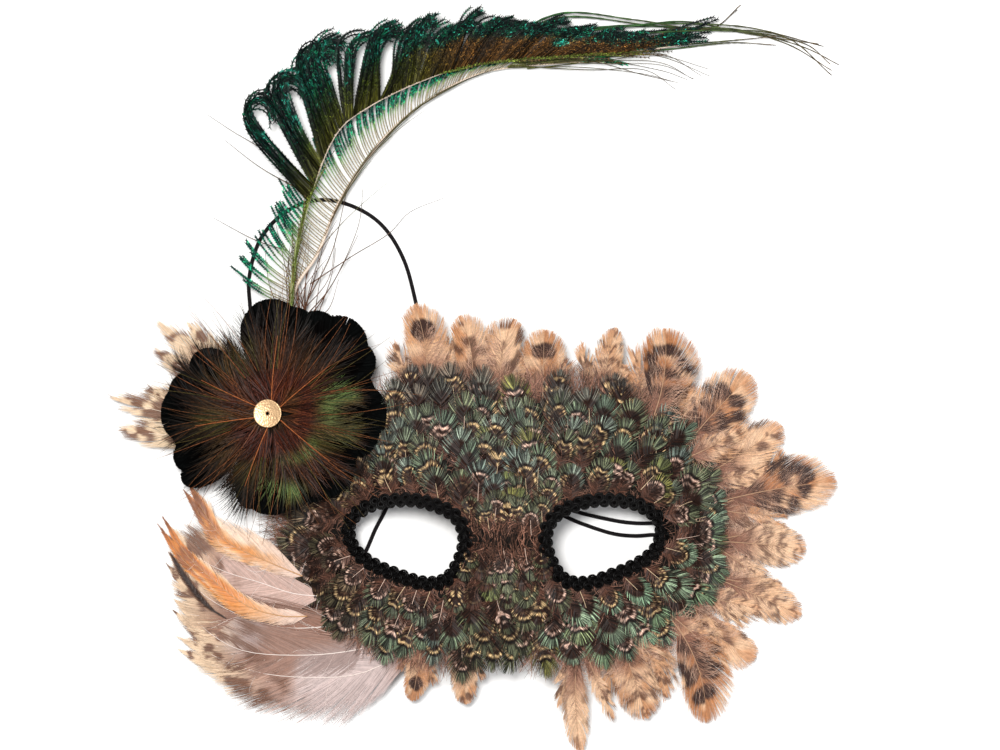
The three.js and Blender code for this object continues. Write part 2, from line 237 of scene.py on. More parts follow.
# Noise values lie mostly between these
NOISE_LOW, NOISE_HIGH = 0.3, 0.7


class Nodes:
    """A short way to lay out a material's node tree."""

    def __init__(self, name):
        self.material = bpy.data.materials.new(name)
        self.material.use_nodes = True
        self.tree = self.material.node_tree
        self.shader = self.tree.nodes["Principled BSDF"]

    def node(self, kind, **values):
        made = self.tree.nodes.new(kind)
        for key, value in values.items():
            if key in made.inputs:
                made.inputs[key].default_value = value
            else:
                setattr(made, key, value)
        return made

    def link(self, source, target):
        self.tree.links.new(source, target)

    def set(self, **values):
        for key, value in values.items():
            self.shader.inputs[key.replace("_", " ")].default_value = value

    def noise(self, scale, detail=3.0, roughness=0.6):
        place = self.node("ShaderNodeTexCoord")
        texture = self.node("ShaderNodeTexNoise", Scale=scale, Detail=detail, Roughness=roughness)
        self.link(place.outputs["Object"], texture.inputs["Vector"])
        return texture.outputs["Fac"]

    def shade(self, colour, noise, low, high):
        """The base colour is a colour that noise makes darker or lighter, from low to high."""
        spread = self.node("ShaderNodeMapRange", clamp=True, **{
            "From Min": NOISE_LOW, "From Max": NOISE_HIGH, "To Min": low, "To Max": high})
        self.link(noise, spread.inputs["Value"])
        scale = self.node("ShaderNodeVectorMath", operation="SCALE")
        self.link(colour, scale.inputs[0])
        self.link(spread.outputs["Result"], scale.inputs["Scale"])
        self.link(scale.outputs["Vector"], self.shader.inputs["Base Color"])

    def colour(self, linear):
        base = self.node("ShaderNodeRGB")
        base.outputs[0].default_value = (*linear, 1)
        return base.outputs[0]

    def bump(self, height, strength, distance):
        made = self.node("ShaderNodeBump", Strength=strength, Distance=distance)
        self.link(height, made.inputs["Height"])
        self.link(made.outputs["Normal"], self.shader.inputs["Normal"])


def feather_material(name, grain_and_glint, rough, metallic, sheen, specular=0.35):
    """Feather barbs carry their own colours; the nodes add noise that makes the base colour darker
    or lighter, a fine grain and a painted glint of their barbules.
    """
    m = Nodes(name)
    tint = m.node("ShaderNodeAttribute", attribute_name="tint")
    scale, low, high = grain_and_glint
    m.shade(tint.outputs["Color"], m.noise(scale, detail=2.0), low, high)
    m.set(Roughness=rough, Metallic=metallic, Sheen_Weight=sheen, Specular_IOR_Level=specular)
    return m.material


def plain_material(name, colour, rough, grain_and_glint, bump, sheen=0.0, specular=0.06):
    m = Nodes(name)
    texture = m.noise(grain_and_glint, detail=5.0)
    m.shade(m.colour(to_linear(hue(colour))), texture, 0.65, 1.35)
    m.set(Roughness=rough, Sheen_Weight=sheen, Specular_IOR_Level=specular)
    m.bump(texture, *bump)
    return m.material


def sequin_material():
    m = Nodes("gold_sequin")
    fleck = m.node("ShaderNodeTexVoronoi", Scale=1500.0)
    place = m.node("ShaderNodeTexCoord")
    m.link(place.outputs["Object"], fleck.inputs["Vector"])
    grain_and_glint = m.noise(2200, detail=4.0, roughness=0.7)
    m.shade(m.colour(to_linear(hue("e0b88a"))), grain_and_glint, 0.5, 1.15)
    m.set(Metallic=0.55, Roughness=0.4)
    m.bump(fleck.outputs["Distance"], 0.4, 0.0002)
    return m.material


def make_materials():
    """The material of every slot."""
    return {
        "pheasant": feather_material("pheasant_barbs", (1600, 0.7, 1.3), 0.5, 0.1, 0.0, 0.2),
        "tan": feather_material("tan_barbs", (1100, 0.85, 1.15), 0.62, 0.0, 0.15),
        "hackle": feather_material("hackle_barbs", (900, 0.92, 1.08), 0.5, 0.0, 0.1),
        "golden": feather_material("golden_barbs", (900, 0.9, 1.12), 0.42, 0.0, 0.1),
        "petal": feather_material("petal_barbs", (900, 0.6, 1.4), 0.6, 0.0, 0.0, 0.01),
        "bronze": feather_material("bronze_barbs", (1500, 0.65, 1.4), 0.45, 0.1, 0.0, 0.12),
        "peacock": feather_material("peacock_barbs", (2600, 0.4, 1.6), 0.5, 0.1, 0.0, 0.1),
        "quill": feather_material("quill_horn", (700, 0.9, 1.1), 0.4, 0.0, 0.0, 0.5),
        "felt": plain_material("black_felt", "17130f", 0.95, 1800, (0.8, 0.0004), sheen=0.25),
        "lining": plain_material("felt_lining", "2b2522", 0.95, 1500, (0.9, 0.0005), sheen=0.3),
        "shell": plain_material("moulded_buckram", "1c1917", 0.7, 900, (0.6, 0.0003)),
        "braid": plain_material("braid_yarn", "020101", 0.4, 2600, (0.3, 0.0001), specular=0.14),
        "elastic": plain_material("elastic_cover", "131012", 0.7, 3000, (0.6, 0.0001), sheen=0.1),
        "sequin": sequin_material(),
    }


materials = make_materials()


# ---------------------------------------------------------------- meshes

# How near the table a feather may lie, in metres
LOWEST = 0.0003


def smoothed(mesh):
    mesh.validate()
    mesh.polygons.foreach_set("use_smooth", np.ones(len(mesh.polygons), bool))
    return mesh


def add_object(name, data):
    made = bpy.data.objects.new(name, data)
    bpy.context.scene.collection.objects.link(made)
    return made


def piece(name, data, slot, node):
    """A finished object that rides on the mask and stands for one CAD node."""
    made = add_object(name, data)
    data.materials.append(materials[slot])
    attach(made, "root")
    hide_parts(node)
    return made


class Plume:
    """Ribbons and shafts gathered into one mesh, with a colour at every point."""

    def __init__(self):
        self.points, self.quads, self.colours = [], [], []
        self.count = 0

    def grid(self, points, colour, wrap=False):
        """points (n, m, k, 3): n strips of m steps, each k points across."""
        n, m, k = points.shape[:3]
        index = self.count + np.arange(n * m * k).reshape(n, m, k)
        across = np.roll(index, -1, 2) if wrap else index[:, :, 1:]
        start = index if wrap else index[:, :, :-1]
        quads = np.stack([start[:, :-1], start[:, 1:], across[:, 1:], across[:, :-1]], -1)
        self.points.append(points.reshape(-1, 3))
        self.quads.append(quads.reshape(-1, 4))
        self.colours.append(np.broadcast_to(colour, points.shape).reshape(-1, 3))
        self.count += n * m * k

    def tube(self, line, radius, colour, sides=5):
        """A tapering round shaft along one line (m, 3); colour is (m, 3) or one colour."""
        tangent = unit(np.gradient(line, axis=0), tiny=1e-9)
        side = unit(np.cross([0, 0, 1], tangent), tiny=1e-9)
        up = np.cross(tangent, side)
        turn = np.arange(sides) * 2 * np.pi / sides
        ring = np.cos(turn)[:, None] * side[:, None] + np.sin(turn)[:, None] * up[:, None]
        points = line[:, None] + ring * np.broadcast_to(radius, len(line))[:, None, None]
        colour = np.broadcast_to(colour, (len(line), 3))[None, :, None]
        self.grid(points[None], colour, wrap=True)

    def piece(self, name, slot, node, keep=None):
        """One piece out of all that was gathered, or of the part that keep(x, y) chooses."""
        points, quads = np.vstack(self.points), np.vstack(self.quads)
        if keep is not None:
            good = keep(points[:, 0], points[:, 1])
            quads = quads[good[quads].all(1)]
        used, quads = np.unique(quads, return_inverse=True)
        quads = quads.reshape(-1, 4)
        points = row(points[used])
        points[:, 2] = np.maximum(points[:, 2], LOWEST)
        colours = to_linear(np.vstack(self.colours)[used])
        made = bpy.data.meshes.new(name)
        made.vertices.add(len(points))
        made.vertices.foreach_set("co", points.astype(np.float32).ravel())
        made.loops.add(quads.size)
        made.loops.foreach_set("vertex_index", quads.astype(np.int32).ravel())
        made.polygons.add(len(quads))
        made.polygons.foreach_set("loop_start", np.arange(0, quads.size, 4, dtype=np.int32))
        layer = made.color_attributes.new("tint", "FLOAT_COLOR", "POINT")
        layer.data.foreach_set("color", np.column_stack([colours, np.ones(len(colours))]).ravel())
        made.update()
        return piece(name, smoothed(made), slot, node)


# ---------------------------------------------------------------- feathers

SHAFT_STEPS = 40
# The stretch of a barb, by its share, over which its tip hooks over
HOOK_FROM, HOOK_TO = 0.58, 1.05
# Barbules leave the root of a barb bare
FUZZ_FROM = 0.12
SHORTEST_BARB = 0.8


class Feather:
    """The plan of one feather: a shaft, and barbs that leave it on both sides.

    lift(x, y, u, out) gives the height at a point, and paint(u, out, s, x, y) its colour,
    with u the share of the shaft, out the distance from it and s the share of the barb.
    """

    def __init__(self, plume, shaft, lift, paint):
        self.plume, self.lift, self.paint = plume, lift, paint
        self.follow(evenly(np.asarray(shaft, float)[:, :2], SHAFT_STEPS))
        self.size = length_of(self.shaft)

    def follow(self, shaft):
        self.shaft = shaft
        self.share = np.linspace(0, 1, len(shaft))
        self.run = unit(np.gradient(shaft, axis=0))

    def at(self, values, t):
        return np.column_stack([np.interp(t, self.share, values[:, k]) for k in range(2)])

    def barbs(self, side, t, lean, curl, length, half, segments=5, point=0.2, roll=0.5, wild=0.0,
              hook=0.0, fuzz=0.0, fuzz_from=FUZZ_FROM):
        """Ribbons from the shaft at the shares t; lean is their angle from it at the root.

        half is half the width of a ribbon, which narrows to the share point of it at the tip.
        """
        n, m = len(t), segments + 1
        s = np.linspace(0, 1, m)
        angle = lean[:, None] - curl[:, None] * s
        angle = angle - np.broadcast_to(hook, (n,))[:, None] * rise(HOOK_FROM, HOOK_TO, s)
        if wild:
            angle = angle + np.cumsum(chance.normal(0, wild, (n, m)), 1)
        middle = (angle[:, 1:] + angle[:, :-1]) / 2
        step = (length / segments)[:, None]
        zero = np.zeros((n, 1))
        along = np.hstack([zero, np.cumsum(np.cos(middle) * step, 1)])
        out = np.hstack([zero, np.cumsum(np.sin(middle) * step, 1)])
        root, tangent = self.at(self.shaft, t), self.at(self.run, t)
        normal = np.column_stack([-tangent[:, 1], tangent[:, 0]]) * side
        xy = (root[:, None] + tangent[:, None] * along[..., None]
              + normal[:, None] * out[..., None])
        heading = (tangent[:, None] * np.cos(angle)[..., None]
                   + normal[:, None] * np.sin(angle)[..., None])
        across = np.stack([-heading[..., 1], heading[..., 0]], -1)
        width = np.broadcast_to(half, (n,))[:, None] * (1 - (1 - point) * s ** 1.5)
        tilt = chance.normal(0, roll, (n, 1)) * width
        u = t[:, None] + along / self.size
        z = self.lift(xy[..., 0], xy[..., 1], u, out)
        ends = [
            np.concatenate([xy + k * across * width[..., None], (z + k * tilt)[..., None]], -1)
            for k in (1, -1)
        ]
        colour = self.paint(u, out, np.broadcast_to(s, (n, m)), xy[..., 0], xy[..., 1])
        self.plume.grid(np.stack(ends, 2), colour[:, :, None])
        if fuzz:
            self.barbules(xy, z, heading, across, colour, s >= fuzz_from, fuzz)

    def vane(self, side, t, lean, oval, curl, thick, ragged, clump=1.0, taper=1.0, **form):
        """Barbs that end on an ellipse about the shaft; thick is half the width of a barb.

        oval holds the ellipse for reach(), and clump and taper make each barb longer or shorter.
        """
        n = len(t)
        length = reach(t, lean, self.size, *oval) * clump * chance.normal(1, ragged, n) * taper
        length = np.clip(length, SHORTEST_BARB, None)
        self.barbs(side, t, lean, np.full(n, curl), length, thick, **form)

    def barbules(self, xy, z, heading, across, colour, chosen, length):
        """Short side hairs all along the barbs of a peacock's feather."""
        for side in (1, -1):
            way = heading * 0.78 + across * side * 0.62
            start = xy[:, chosen]
            hair = way[:, chosen] * length
            hair = hair * chance.uniform(0.75, 1.1, hair.shape[:2])[..., None]
            wide = 0.2 * np.stack([-way[..., 1], way[..., 0]], -1)[:, chosen]
            low = z[:, chosen, None]
            high = low + chance.normal(0.1, 0.25, low.shape)
            corners = np.stack([
                np.stack([np.concatenate([start + wide, low], -1),
                          np.concatenate([start - wide, low], -1)], 2),
                np.stack([np.concatenate([start + hair + wide * 0.4, high], -1),
                          np.concatenate([start + hair - wide * 0.4, high], -1)], 2),
            ], 2)
            strips = corners.reshape(-1, 2, 2, 3)
            shades = colour[:, chosen].reshape(-1, 1, 1, 3)
            self.plume.grid(strips, shades * chance.uniform(0.3, 1.6, (len(strips), 1, 1, 1)))

    def quill(self, start, end, radius, colour, steps=14, raise_by=0.15):
        """The shaft itself, as a tapering tube that lies on the vane."""
        t = np.linspace(start, end, steps)
        xy = self.at(self.shaft, t)
        z = self.lift(xy[:, 0], xy[:, 1], t, np.zeros(steps)) + raise_by
        taper = radius * (1.1 - 0.85 * t)
        self.plume.tube(np.column_stack([xy, z]), taper, colour)


def reach(t, lean, size, middle, along, across):
    """How far a barb goes before it meets an ellipse about the shaft.

    The ellipse's middle and its half length are shares of the shaft, and across is in mm.
    """
    x = t * size - middle * size
    a, b = along * size, across
    c, s = np.cos(lean), np.sin(lean)
    p = (c / a) ** 2 + (s / b) ** 2
    q = x * c / a ** 2
    r = (x / a) ** 2 - 1
    return np.maximum((-q + np.sqrt(np.maximum(q * q - p * r, 0))) / p, 0)


def clumps(n, group, spread):
    """The same small turn for runs of neighbouring barbs, which parts a vane into tufts."""
    return np.repeat(chance.normal(0, spread, n // group + 1), group)[:n]


def each_barb(u, low, spread):
    """A random brightness for every barb."""
    return low + spread * chance.random((len(u), 1, 1))


# ---------------------------------------------------------------- small face feathers

# Where the elastic's knot and fold lie, and how far they lift the plumage
TIES = [(63, 3.7), (-63, -8)]
TIE_RISE = 4.6
TIE_SPREAD = 9.0
FLUFF = hue("4f3328")
FLUFF_TIP = hue("8a6656")
GREY_BROWN = hue("6e675a")
DARK_BROWN = hue("2f1a12")
BLACK = hue("0b0705")
CREAM = hue("d2b282")
PINK_CREAM = hue("d6b2a0")
BROW_TIPS = hues("66795f 576b58 707d66 5f7068 6a7355 525c45 6c7a6e")
CHEEK_TIPS = hues("6f8f72 657f66 7a9176 637c5c 6c7b54")
NOSE_TIPS = hues("4c5236 555a40 454731 5a6048")
TEMPLE_TIPS = hues("524a34 5d4b38 4d5138 463c30")
LIME_TIPS = hues("6c6b32 5c6434")
GREY_TIPS = hues("685d52 57504a 605f56")

# A small feather's vane goes on past the end of its shaft, to this many times its length
VANE_PER_SHAFT = 1.19
# How far the green of a tip is mixed towards grey
GREYING = 0.22
# How many barbs a small feather has on each side, in its vane and in the down at its root
VANE_BARBS = 44
DOWN_BARBS = 16


def face_paint(kind, half, tip, cream, seed):
    """Concentric markings that follow the rounded tip of a pheasant's body feather."""

    def paint(u, out, s, x, y):
        u, v = u * (1 / VANE_PER_SHAFT), out / half
        ring = np.hypot((u - 0.4) / 0.6, v * 0.95)
        ring = ring + 0.07 * (cloud(v * 4, u * 6, 1.0, seed) - 0.5)
        if kind == "double":
            ring = ring + 0.15 * bell(v / 0.22)
        ahead = rise(0.26, 0.4, u)
        # Painted sheen: each barb's green tip is made brighter or darker at random, as if it caught
        # more or less light
        painted_sheen = 0.16 + 1.15 * chance.random((len(u), 1, 1)) ** 0.8
        tip_with_painted_sheen = mix(tip, GREY_BROWN, GREYING) * painted_sheen
        colour = mix(FLUFF, DARK_BROWN * 0.8, rise(0.2, 0.4, u))
        if kind in ("arch", "double"):
            inner = 0.8 if kind == "double" else 0.35
            colour = mix(colour, cream * 0.85, inner * band(ring, 0.3, 0.35, 0.02) * ahead)
            colour = mix(colour, cream, 0.95 * band(ring, 0.49, 0.56, 0.02) * ahead)
            colour = mix(colour, BLACK, band(ring, 0.58, 0.66, 0.025) * ahead)
            colour = mix(colour, tip_with_painted_sheen, rise(0.65, 0.7, ring) * ahead)
        elif kind == "spots":
            spot = cloud(v * 4.5, u * 15, 1.0, seed)
            spot = rise(0.62, 0.7, spot) * band(ring, 0.15, 0.7, 0.03)
            colour = mix(colour, cream, 0.9 * spot * ahead)
            colour = mix(colour, tip_with_painted_sheen, rise(0.74, 0.82, ring) * ahead)
        elif kind == "brown":
            colour = mix(colour, cream * 0.8, 0.5 * band(ring, 0.6, 0.66, 0.03) * ahead)
            colour = mix(colour, FLUFF, 0.8 * rise(0.7, 0.8, ring))
        else:
            colour = mix(colour, tip_with_painted_sheen, rise(0.5, 0.62, ring) * ahead)
        return colour * each_barb(u, 0.42, 0.9)

    return paint


def down_paint(u, out, s, x, y):
    return mix(FLUFF, FLUFF_TIP, s) * each_barb(u, 0.4, 1.0)


def over_the_ties(x, y):
    """The plumage stands up where the elastic's knot and fold lie under it."""
    near = [np.hypot(x - tie_x, y - tie_y) for tie_x, tie_y in TIES]
    return TIE_RISE * bell(np.minimum(*near) / TIE_SPREAD)


def small_feather(plume, root, heading, size, half, height, kind, tip, cream):
    """A rounded feather that lies on the face, its root down and its tip raised."""
    seed = chance.integers(1, 900)
    turn = chance.normal(0, 0.1)
    bend = np.array([-heading[1], heading[0]]) * turn * size
    shaft = [root, root + heading * size * 0.45 + bend * 0.3, root + heading * size * 0.84 + bend]

    def lift(x, y, u, out):
        level = height[0] + (height[1] - height[0]) * np.clip(u, 0, 1.2) ** 0.8
        level = np.maximum(level - 1.1 * (out / half) ** 2, 0.25)
        return face(x, y) + SHELL_FRONT + level + over_the_ties(x, y)

    feather = Feather(plume, spline(shaft, 12), lift, face_paint(kind, half, tip, cream, seed))
    n = VANE_BARBS
    for side in (1, -1):
        t = np.linspace(0.05, 0.99, n) + chance.normal(0, 0.006, n)
        lean = np.radians(58) * (1 - t ** 2.2) + np.radians(7) * (1 - t) + np.radians(5)
        feather.vane(side, t, lean + clumps(n, 5, 0.07), (0.66, 0.53, half), curl=0.3,
                     thick=0.2, ragged=0.05, segments=9, roll=0.4)
    if kind != "brown" and chance.random() < 0.4:
        feather.quill(0.1, 0.62, 0.13, mix(cream, hue("d9c4b4"), 0.4), steps=8, raise_by=0.22)
    feather.paint = down_paint
    n = DOWN_BARBS
    for side in (1, -1):
        t = chance.uniform(0.0, 0.35, n)
        feather.barbs(side, t, chance.uniform(0.2, 1.4, n), chance.normal(0, 0.8, n),
                      chance.uniform(3, 7, n), 0.09, segments=6, point=0.4, wild=0.18)


def face_heading(x, y):
    """Feathers on the face point away from the line between the eyes."""
    far_x = 18 + 0.55 * max(0.0, abs(x) - 18)
    hub_x = math.copysign(min(abs(x), far_x, 42), x)
    away = np.array([x - hub_x, y - 1.0])
    if math.hypot(*away) < 1.5:
        away = np.array([0.0, 1.0 if y > 1 else -1.0])
    return away / np.linalg.norm(away)


def face_roots():
    """Staggered rows over the mask, with close rows round the eyes, on the nose and the temples."""
    across, up = 8.6, 5.6
    roots = [(x + chance.normal(0, 1.1), y + chance.normal(0, 1.0))
             for j, y in enumerate(np.arange(-44, 56, up))
             for x in np.arange(-86, 86, across) + (j % 2) * across / 2]
    for loop in eyes.values():
        roots += list(grown(loop, BRAID_WIDTH - 0.4)[::6])
    roots += [(x + chance.normal(0, 1), y) for y in np.arange(-9, 12, 4.0) for x in (-5, 0, 5)]
    roots += [(side * (62 + chance.normal(0, 1.2)), y)
              for y in np.arange(-12, 16, 3.6) for side in (1, -1)]
    roots = np.array(roots)
    x, y = roots.T
    ahead = np.array([place + 8 * face_heading(*place) for place in roots])
    near_temple = np.abs(x) > 62
    good = inside(grown(edge, -9.5), x, y) | (inside(grown(edge, -5.5), x, y) & ~near_temple)
    good &= ~in_an_eye(x, y, BRAID_WIDTH - 0.8)
    good &= ~in_an_eye(ahead[:, 0], ahead[:, 1], BRAID_WIDTH)
    return roots[good]


def face_region(x, y):
    """Which of the CAD model's feather fields a point of the face lies in."""
    side = "left" if x < 0 else "right"
    if abs(x) > 56:
        return f"{side}_temple"
    if abs(x) < 13 and y < 18:
        return "nose"
    return "forehead" if y > 0 else f"{side}_cheek"


def pick(options):
    return options[int(chance.integers(len(options)))]


def face_kind(x, y):
    """The kind of the feather that grows at a place, and the colour of its tip."""
    if x < -44 and y < 25:
        tips, odds = TEMPLE_TIPS, (0.6, 0.25, 0.05, 0.02, 0.08)
    elif abs(x) < 17 and y < -6:
        tips, odds = NOSE_TIPS, (0.45, 0.25, 0.12, 0.1, 0.08)
    elif abs(x) < 16 and y < 10:
        tips, odds = NOSE_TIPS, (0.45, 0.25, 0.1, 0.0, 0.2)
    elif y < 4:
        tips, odds = CHEEK_TIPS if x > 0 else BROW_TIPS, (0.4, 0.34, 0.06, 0.2, 0.0)
    elif y > 36:
        tips, odds = GREY_TIPS, (0.26, 0.2, 0.14, 0.4, 0.0)
    else:
        tips, odds = BROW_TIPS, (0.32, 0.23, 0.07, 0.38, 0.0)
    if chance.random() < 0.07:
        tips = LIME_TIPS
    kind = chance.choice(["arch", "double", "spots", "green", "brown"], p=odds)
    return kind, pick(tips) * chance.uniform(0.85, 1.12)


# The lengths and half widths of the small feathers
SMALL_LENGTHS = (15.5, 19.5)
SMALL_HALVES = (5.8, 7.4)


def make_face():
    """All the small feathers and the down, gathered by the CAD model's feather fields."""
    plumes = {}
    for x, y in face_roots():
        heading = np.array(rotated(*face_heading(x, y), chance.normal(0, 0.14)))
        kind, tip = face_kind(x, y)
        near_nose = abs(x) < 15 and abs(y) < 12
        at_eye = in_an_eye(x, y, BRAID_WIDTH + 1.5)
        at_nose_end = abs(x) < 16 and y < -18
        longer = 0.75 if near_nose else 1.15 if at_nose_end else 1.0
        size = chance.uniform(*SMALL_LENGTHS) * longer
        half = chance.uniform(*SMALL_HALVES) * (0.75 if near_nose else 1.0)
        if at_eye:
            size, half = 0.74 * size, 0.82 * half
        outer = np.hypot(x / 80, y / 50)
        height = (0.9 + 0.5 * outer, 4.2 - 0.3 * outer + chance.normal(0, 0.3))
        cream = CREAM if chance.random() < 0.6 else PINK_CREAM
        plume = plumes.setdefault(face_region(x, y), Plume())
        small_feather(plume, np.array([x, y]), heading, size, half, height, kind, tip, cream)
    for loop in eyes.values():
        ruff(plumes, grown(loop, BRAID_WIDTH - 0.9), 420, (0.8, 2.6), (1.6, 4.2))
    ruff(plumes, grown(edge, -2.0), 5200, (0.3, 1.2), (6, 15))
    bridge_down(plumes["nose"])
    for region, plume in plumes.items():
        plume.piece(f"{region}_plumage", "pheasant", f"{region}_feathers",
                    keep=lambda x, y: ~in_an_eye(x, y, 1.5))


def ruff(plumes, loop, count, heights, lengths):
    """Loose brown down that springs outwards from a loop on the face.

    heights are above the front of the shell, at the root and 8 mm out.
    """
    loop = spline(loop[::4], 400, closed=True)
    whole = np.vstack([loop, loop[:1]])

    def lift(x, y, u, out):
        return face(x, y) + SHELL_FRONT + heights[0] + (heights[1] - heights[0]) * out / 8

    for region, plume in plumes.items():
        feather = Feather(plume, whole, lift, down_paint)
        feather.follow(whole)
        t = chance.random(count)
        t = t[[face_region(x, y) == region for x, y in feather.at(whole, t)]]
        n = len(t)
        if n:
            feather.barbs(-winding(loop), t, chance.normal(1.57, 0.45, n),
                          chance.normal(0, 0.5, n), chance.uniform(*lengths, n), 0.11,
                          segments=7, point=0.3, wild=0.17)


def bridge_down(plume):
    """Short down lies both ways over the bridge of the nose."""
    n = 560
    for root in np.column_stack([chance.uniform(-12, 12, n), chance.uniform(-8, 6, n)]):
        way = 1 if root[1] > 1 + chance.normal(0, 2.5) else -1
        tip = root + [root[0] * 0.2 + chance.normal(0, 1), way * chance.uniform(4, 9)]
        line = spline([root, root + [chance.normal(0, 1.5), way * 3], tip], 7)
        z = face(line[:, 0], line[:, 1]) + SHELL_FRONT + np.linspace(0.6, 3.2, 7)
        shade = mix(FLUFF, FLUFF_TIP, chance.random(7)) * chance.choice([0.15, 0.5, 0.9, 1.5])
        plume.tube(np.column_stack([line, z]), 0.11, shade, sides=3)


# ---------------------------------------------------------------- rim feathers

def middle_line(node, near):
    """The middle line of a blade-shaped CAD node in mm, from its end that is nearest a point.

    A blade is a row of rings of four points, with one point at each end.
    """
    points = np.array([v.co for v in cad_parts[node].data.vertices])
    points = np.unique(np.round((points - ORIGIN) / MM, 2), axis=0)
    away = points - points.mean(0)
    points = points[np.argsort(away @ np.linalg.svd(away)[2][0])]
    rings = [points[:1]] + [points[i:i + 4] for i in range(1, len(points) - 1, 4)] + [points[-1:]]
    line = np.array([ring.mean(0) for ring in rings])
    first, last = (np.linalg.norm(end[:2] - near) for end in (line[0], line[-1]))
    return line[::-1] if last < first else line


def turned(line, angle, scale=1.0, sink=0.0):
    """A line swung about its root in plan, and lengthened or shortened."""
    x, y, z = ((line - line[0]) * scale).T
    return line[0] + np.column_stack([*rotated(x, y, angle), z]) - [0, 0, sink]


SPOT_BROWN = hue("2a120a")
RIM_PALE, RIM_WARM = hue("deb896"), hue("a86a3e")
# The spots of a spotted feather: shares of its length, and of its half width
SPOTS = [(0.8, 0.14), (0.69, 0.5), (0.6, 0.24), (0.52, 0.62), (0.44, 0.12)]


def tan_paint(half, style, paleness, seed):
    """Buff feathers with brown spots, bars, blots or one large oval, or nearly plain ones."""
    base = mix(RIM_WARM, RIM_PALE, paleness)
    spots = np.array(SPOTS) + chance.normal(0, 1, (len(SPOTS), 2)) * [0.02, 0.07]

    def paint(u, out, s, x, y):
        v = out / half
        fine = cloud(u * 24, v * 5, 1.0, seed) - 0.5
        colour = mix(base, RIM_PALE, 0.85 * rise(0.4, 0.7, cloud(u * 8, v * 2.4, 1.0, seed + 3)))
        colour = mix(hue("744a3a"), colour, rise(0.3, 0.62, u))
        if style == "spots":
            far = [np.hypot((u - at) / 0.062, (v - across) / 0.3) for at, across in spots]
            mark = 1 - rise(0.85, 1.1, np.min(far, 0) + 0.7 * fine)
        elif style == "oval":
            far = np.hypot((u - 0.76) / 0.11, (v - 0.08) / 0.42) + 0.3 * fine
            mark = 1 - rise(0.8, 1.0, far)
        elif style == "bars":
            wave = np.sin(2 * np.pi * (u * 5.5 - 0.3 * v) + 5 * fine)
            mark = 0.6 * rise(0.3, 0.9, wave) * rise(0.3, 0.5, u)
        else:
            blot = cloud(u * 10, v * 2.6, 1.0, seed + 9) + 0.3 * fine
            mark = (0.65 if style == "blots" else 0.35) * rise(0.55, 0.7, blot) * rise(0.3, 0.5, u)
        colour = mix(colour, SPOT_BROWN, 0.95 * mark)
        colour = mix(colour, RIM_PALE, 0.6 * rise(0.7, 1.0, v))
        colour = mix(colour, hue("b07a58"), 0.4 * rise(0.86, 0.98, u))
        return colour * each_barb(u, 0.84, 0.24)

    return paint


def level_of(line):
    """The height along a line, by its share."""
    share = np.linspace(0, 1, len(line))
    return lambda u: np.interp(np.clip(u, 0, 1), share, line[:, 2])


def soft_feather(plume, line, half, paints, dense=80, droop=0.9, shaft_colour="b08a6c", down=90,
                 other=None, middle=0.62, along=0.42, spread=42, fray=0.05, thick=0.3, curl=0.35,
                 start=0.1, end=0.95, roll=0.3, sunk=0.0, lance=0.0, ragged=0.08,
                 down_colours="7c5340 d8b49c"):
    """A broad soft feather along a line in space, with loose down at its root.

    paints holds the colours of its two sides, other is the half width of its first side where
    the two differ, sunk is how far its root lies below the line, and lance narrows its tip.
    """
    line = spline(line, 24)
    level = level_of(line)

    def lift(x, y, u, out):
        return level(u) + 0.4 - sunk * (1 - rise(0.0, 0.55, u)) - droop * (out / half) ** 2

    feather = Feather(plume, line, lift, paints[0])
    for side, paint in zip((1, -1), paints):
        feather.paint = paint
        wide = other if other and side == 1 else half
        t = np.linspace(start, end, dense) + chance.normal(0, 0.002, dense)
        lean = np.radians(spread) * (1 - (t / end) ** 5) + np.radians(4) + clumps(dense, 7, fray)
        feather.vane(side, t, lean, (middle, along, wide), curl, thick, ragged,
                     clump=1 + clumps(dense, 6, fray), taper=1 - lance * rise(0.35, 0.95, t),
                     segments=9, roll=roll, wild=0.015)
    feather.quill(0.7 * start, 0.88, 0.22, hue(shaft_colour), steps=16)
    if down:
        low, high = hues(down_colours)
        feather.paint = lambda u, out, s, x, y: (
            mix(low, high, s) * chance.uniform(0.8, 1.1, (len(u), 1, 1)))
        for side in (1, -1):
            t = chance.uniform(start, 0.74, down)
            length = chance.uniform(0.5, 1.35, down) * half * (1.15 - 0.7 * t)
            feather.barbs(side, t, chance.uniform(0.3, 1.4, down), chance.normal(0.2, 0.6, down),
                          length, 0.07, segments=8, point=0.3, wild=0.2)


# Each rim feather: its markings, the half width of its vane, and how pale it is
RIM = {
    1: ("oval", 10, 0.5), 2: ("blots", 9.5, 0.3), 3: ("blots", 10, 0.6), 4: ("oval", 9.5, 0.3),
    5: ("bars", 6.5, 0.6), 6: ("spots", 13.5, 0.1), 7: ("spots", 12.5, 0.2),
    8: ("blots", 9.5, 0.8), 9: ("spots", 13.5, 0.1), 10: ("bars", 10, 1.0),
    11: ("bars", 9, 0.8), 12: ("blots", 10.5, 0.6), 13: ("spots", 12, 0.15),
    14: ("bars", 10, 0.4), 15: ("plain", 6, 0.9), 16: ("blots", 6, 0.4),
    17: ("oval", 5.5, 0.3),
}
# The feathers of one tuft: how far each is swung, its length, how far it is sunk, and its width
RIM_TUFT = [(0, 1.0, 0, 1.0), (0.34, 0.74, 0.6, 0.62), (-0.34, 0.7, 0.8, 0.62)]
RIM_FORM = dict(thick=0.16, middle=0.67, along=0.35, start=0.24, end=0.94, spread=36, sunk=2.4)
RIM_MAIN = dict(dense=170, fray=0.025, ragged=0.03, down=200)
RIM_SIDE = dict(dense=90, fray=0.14, down=130)


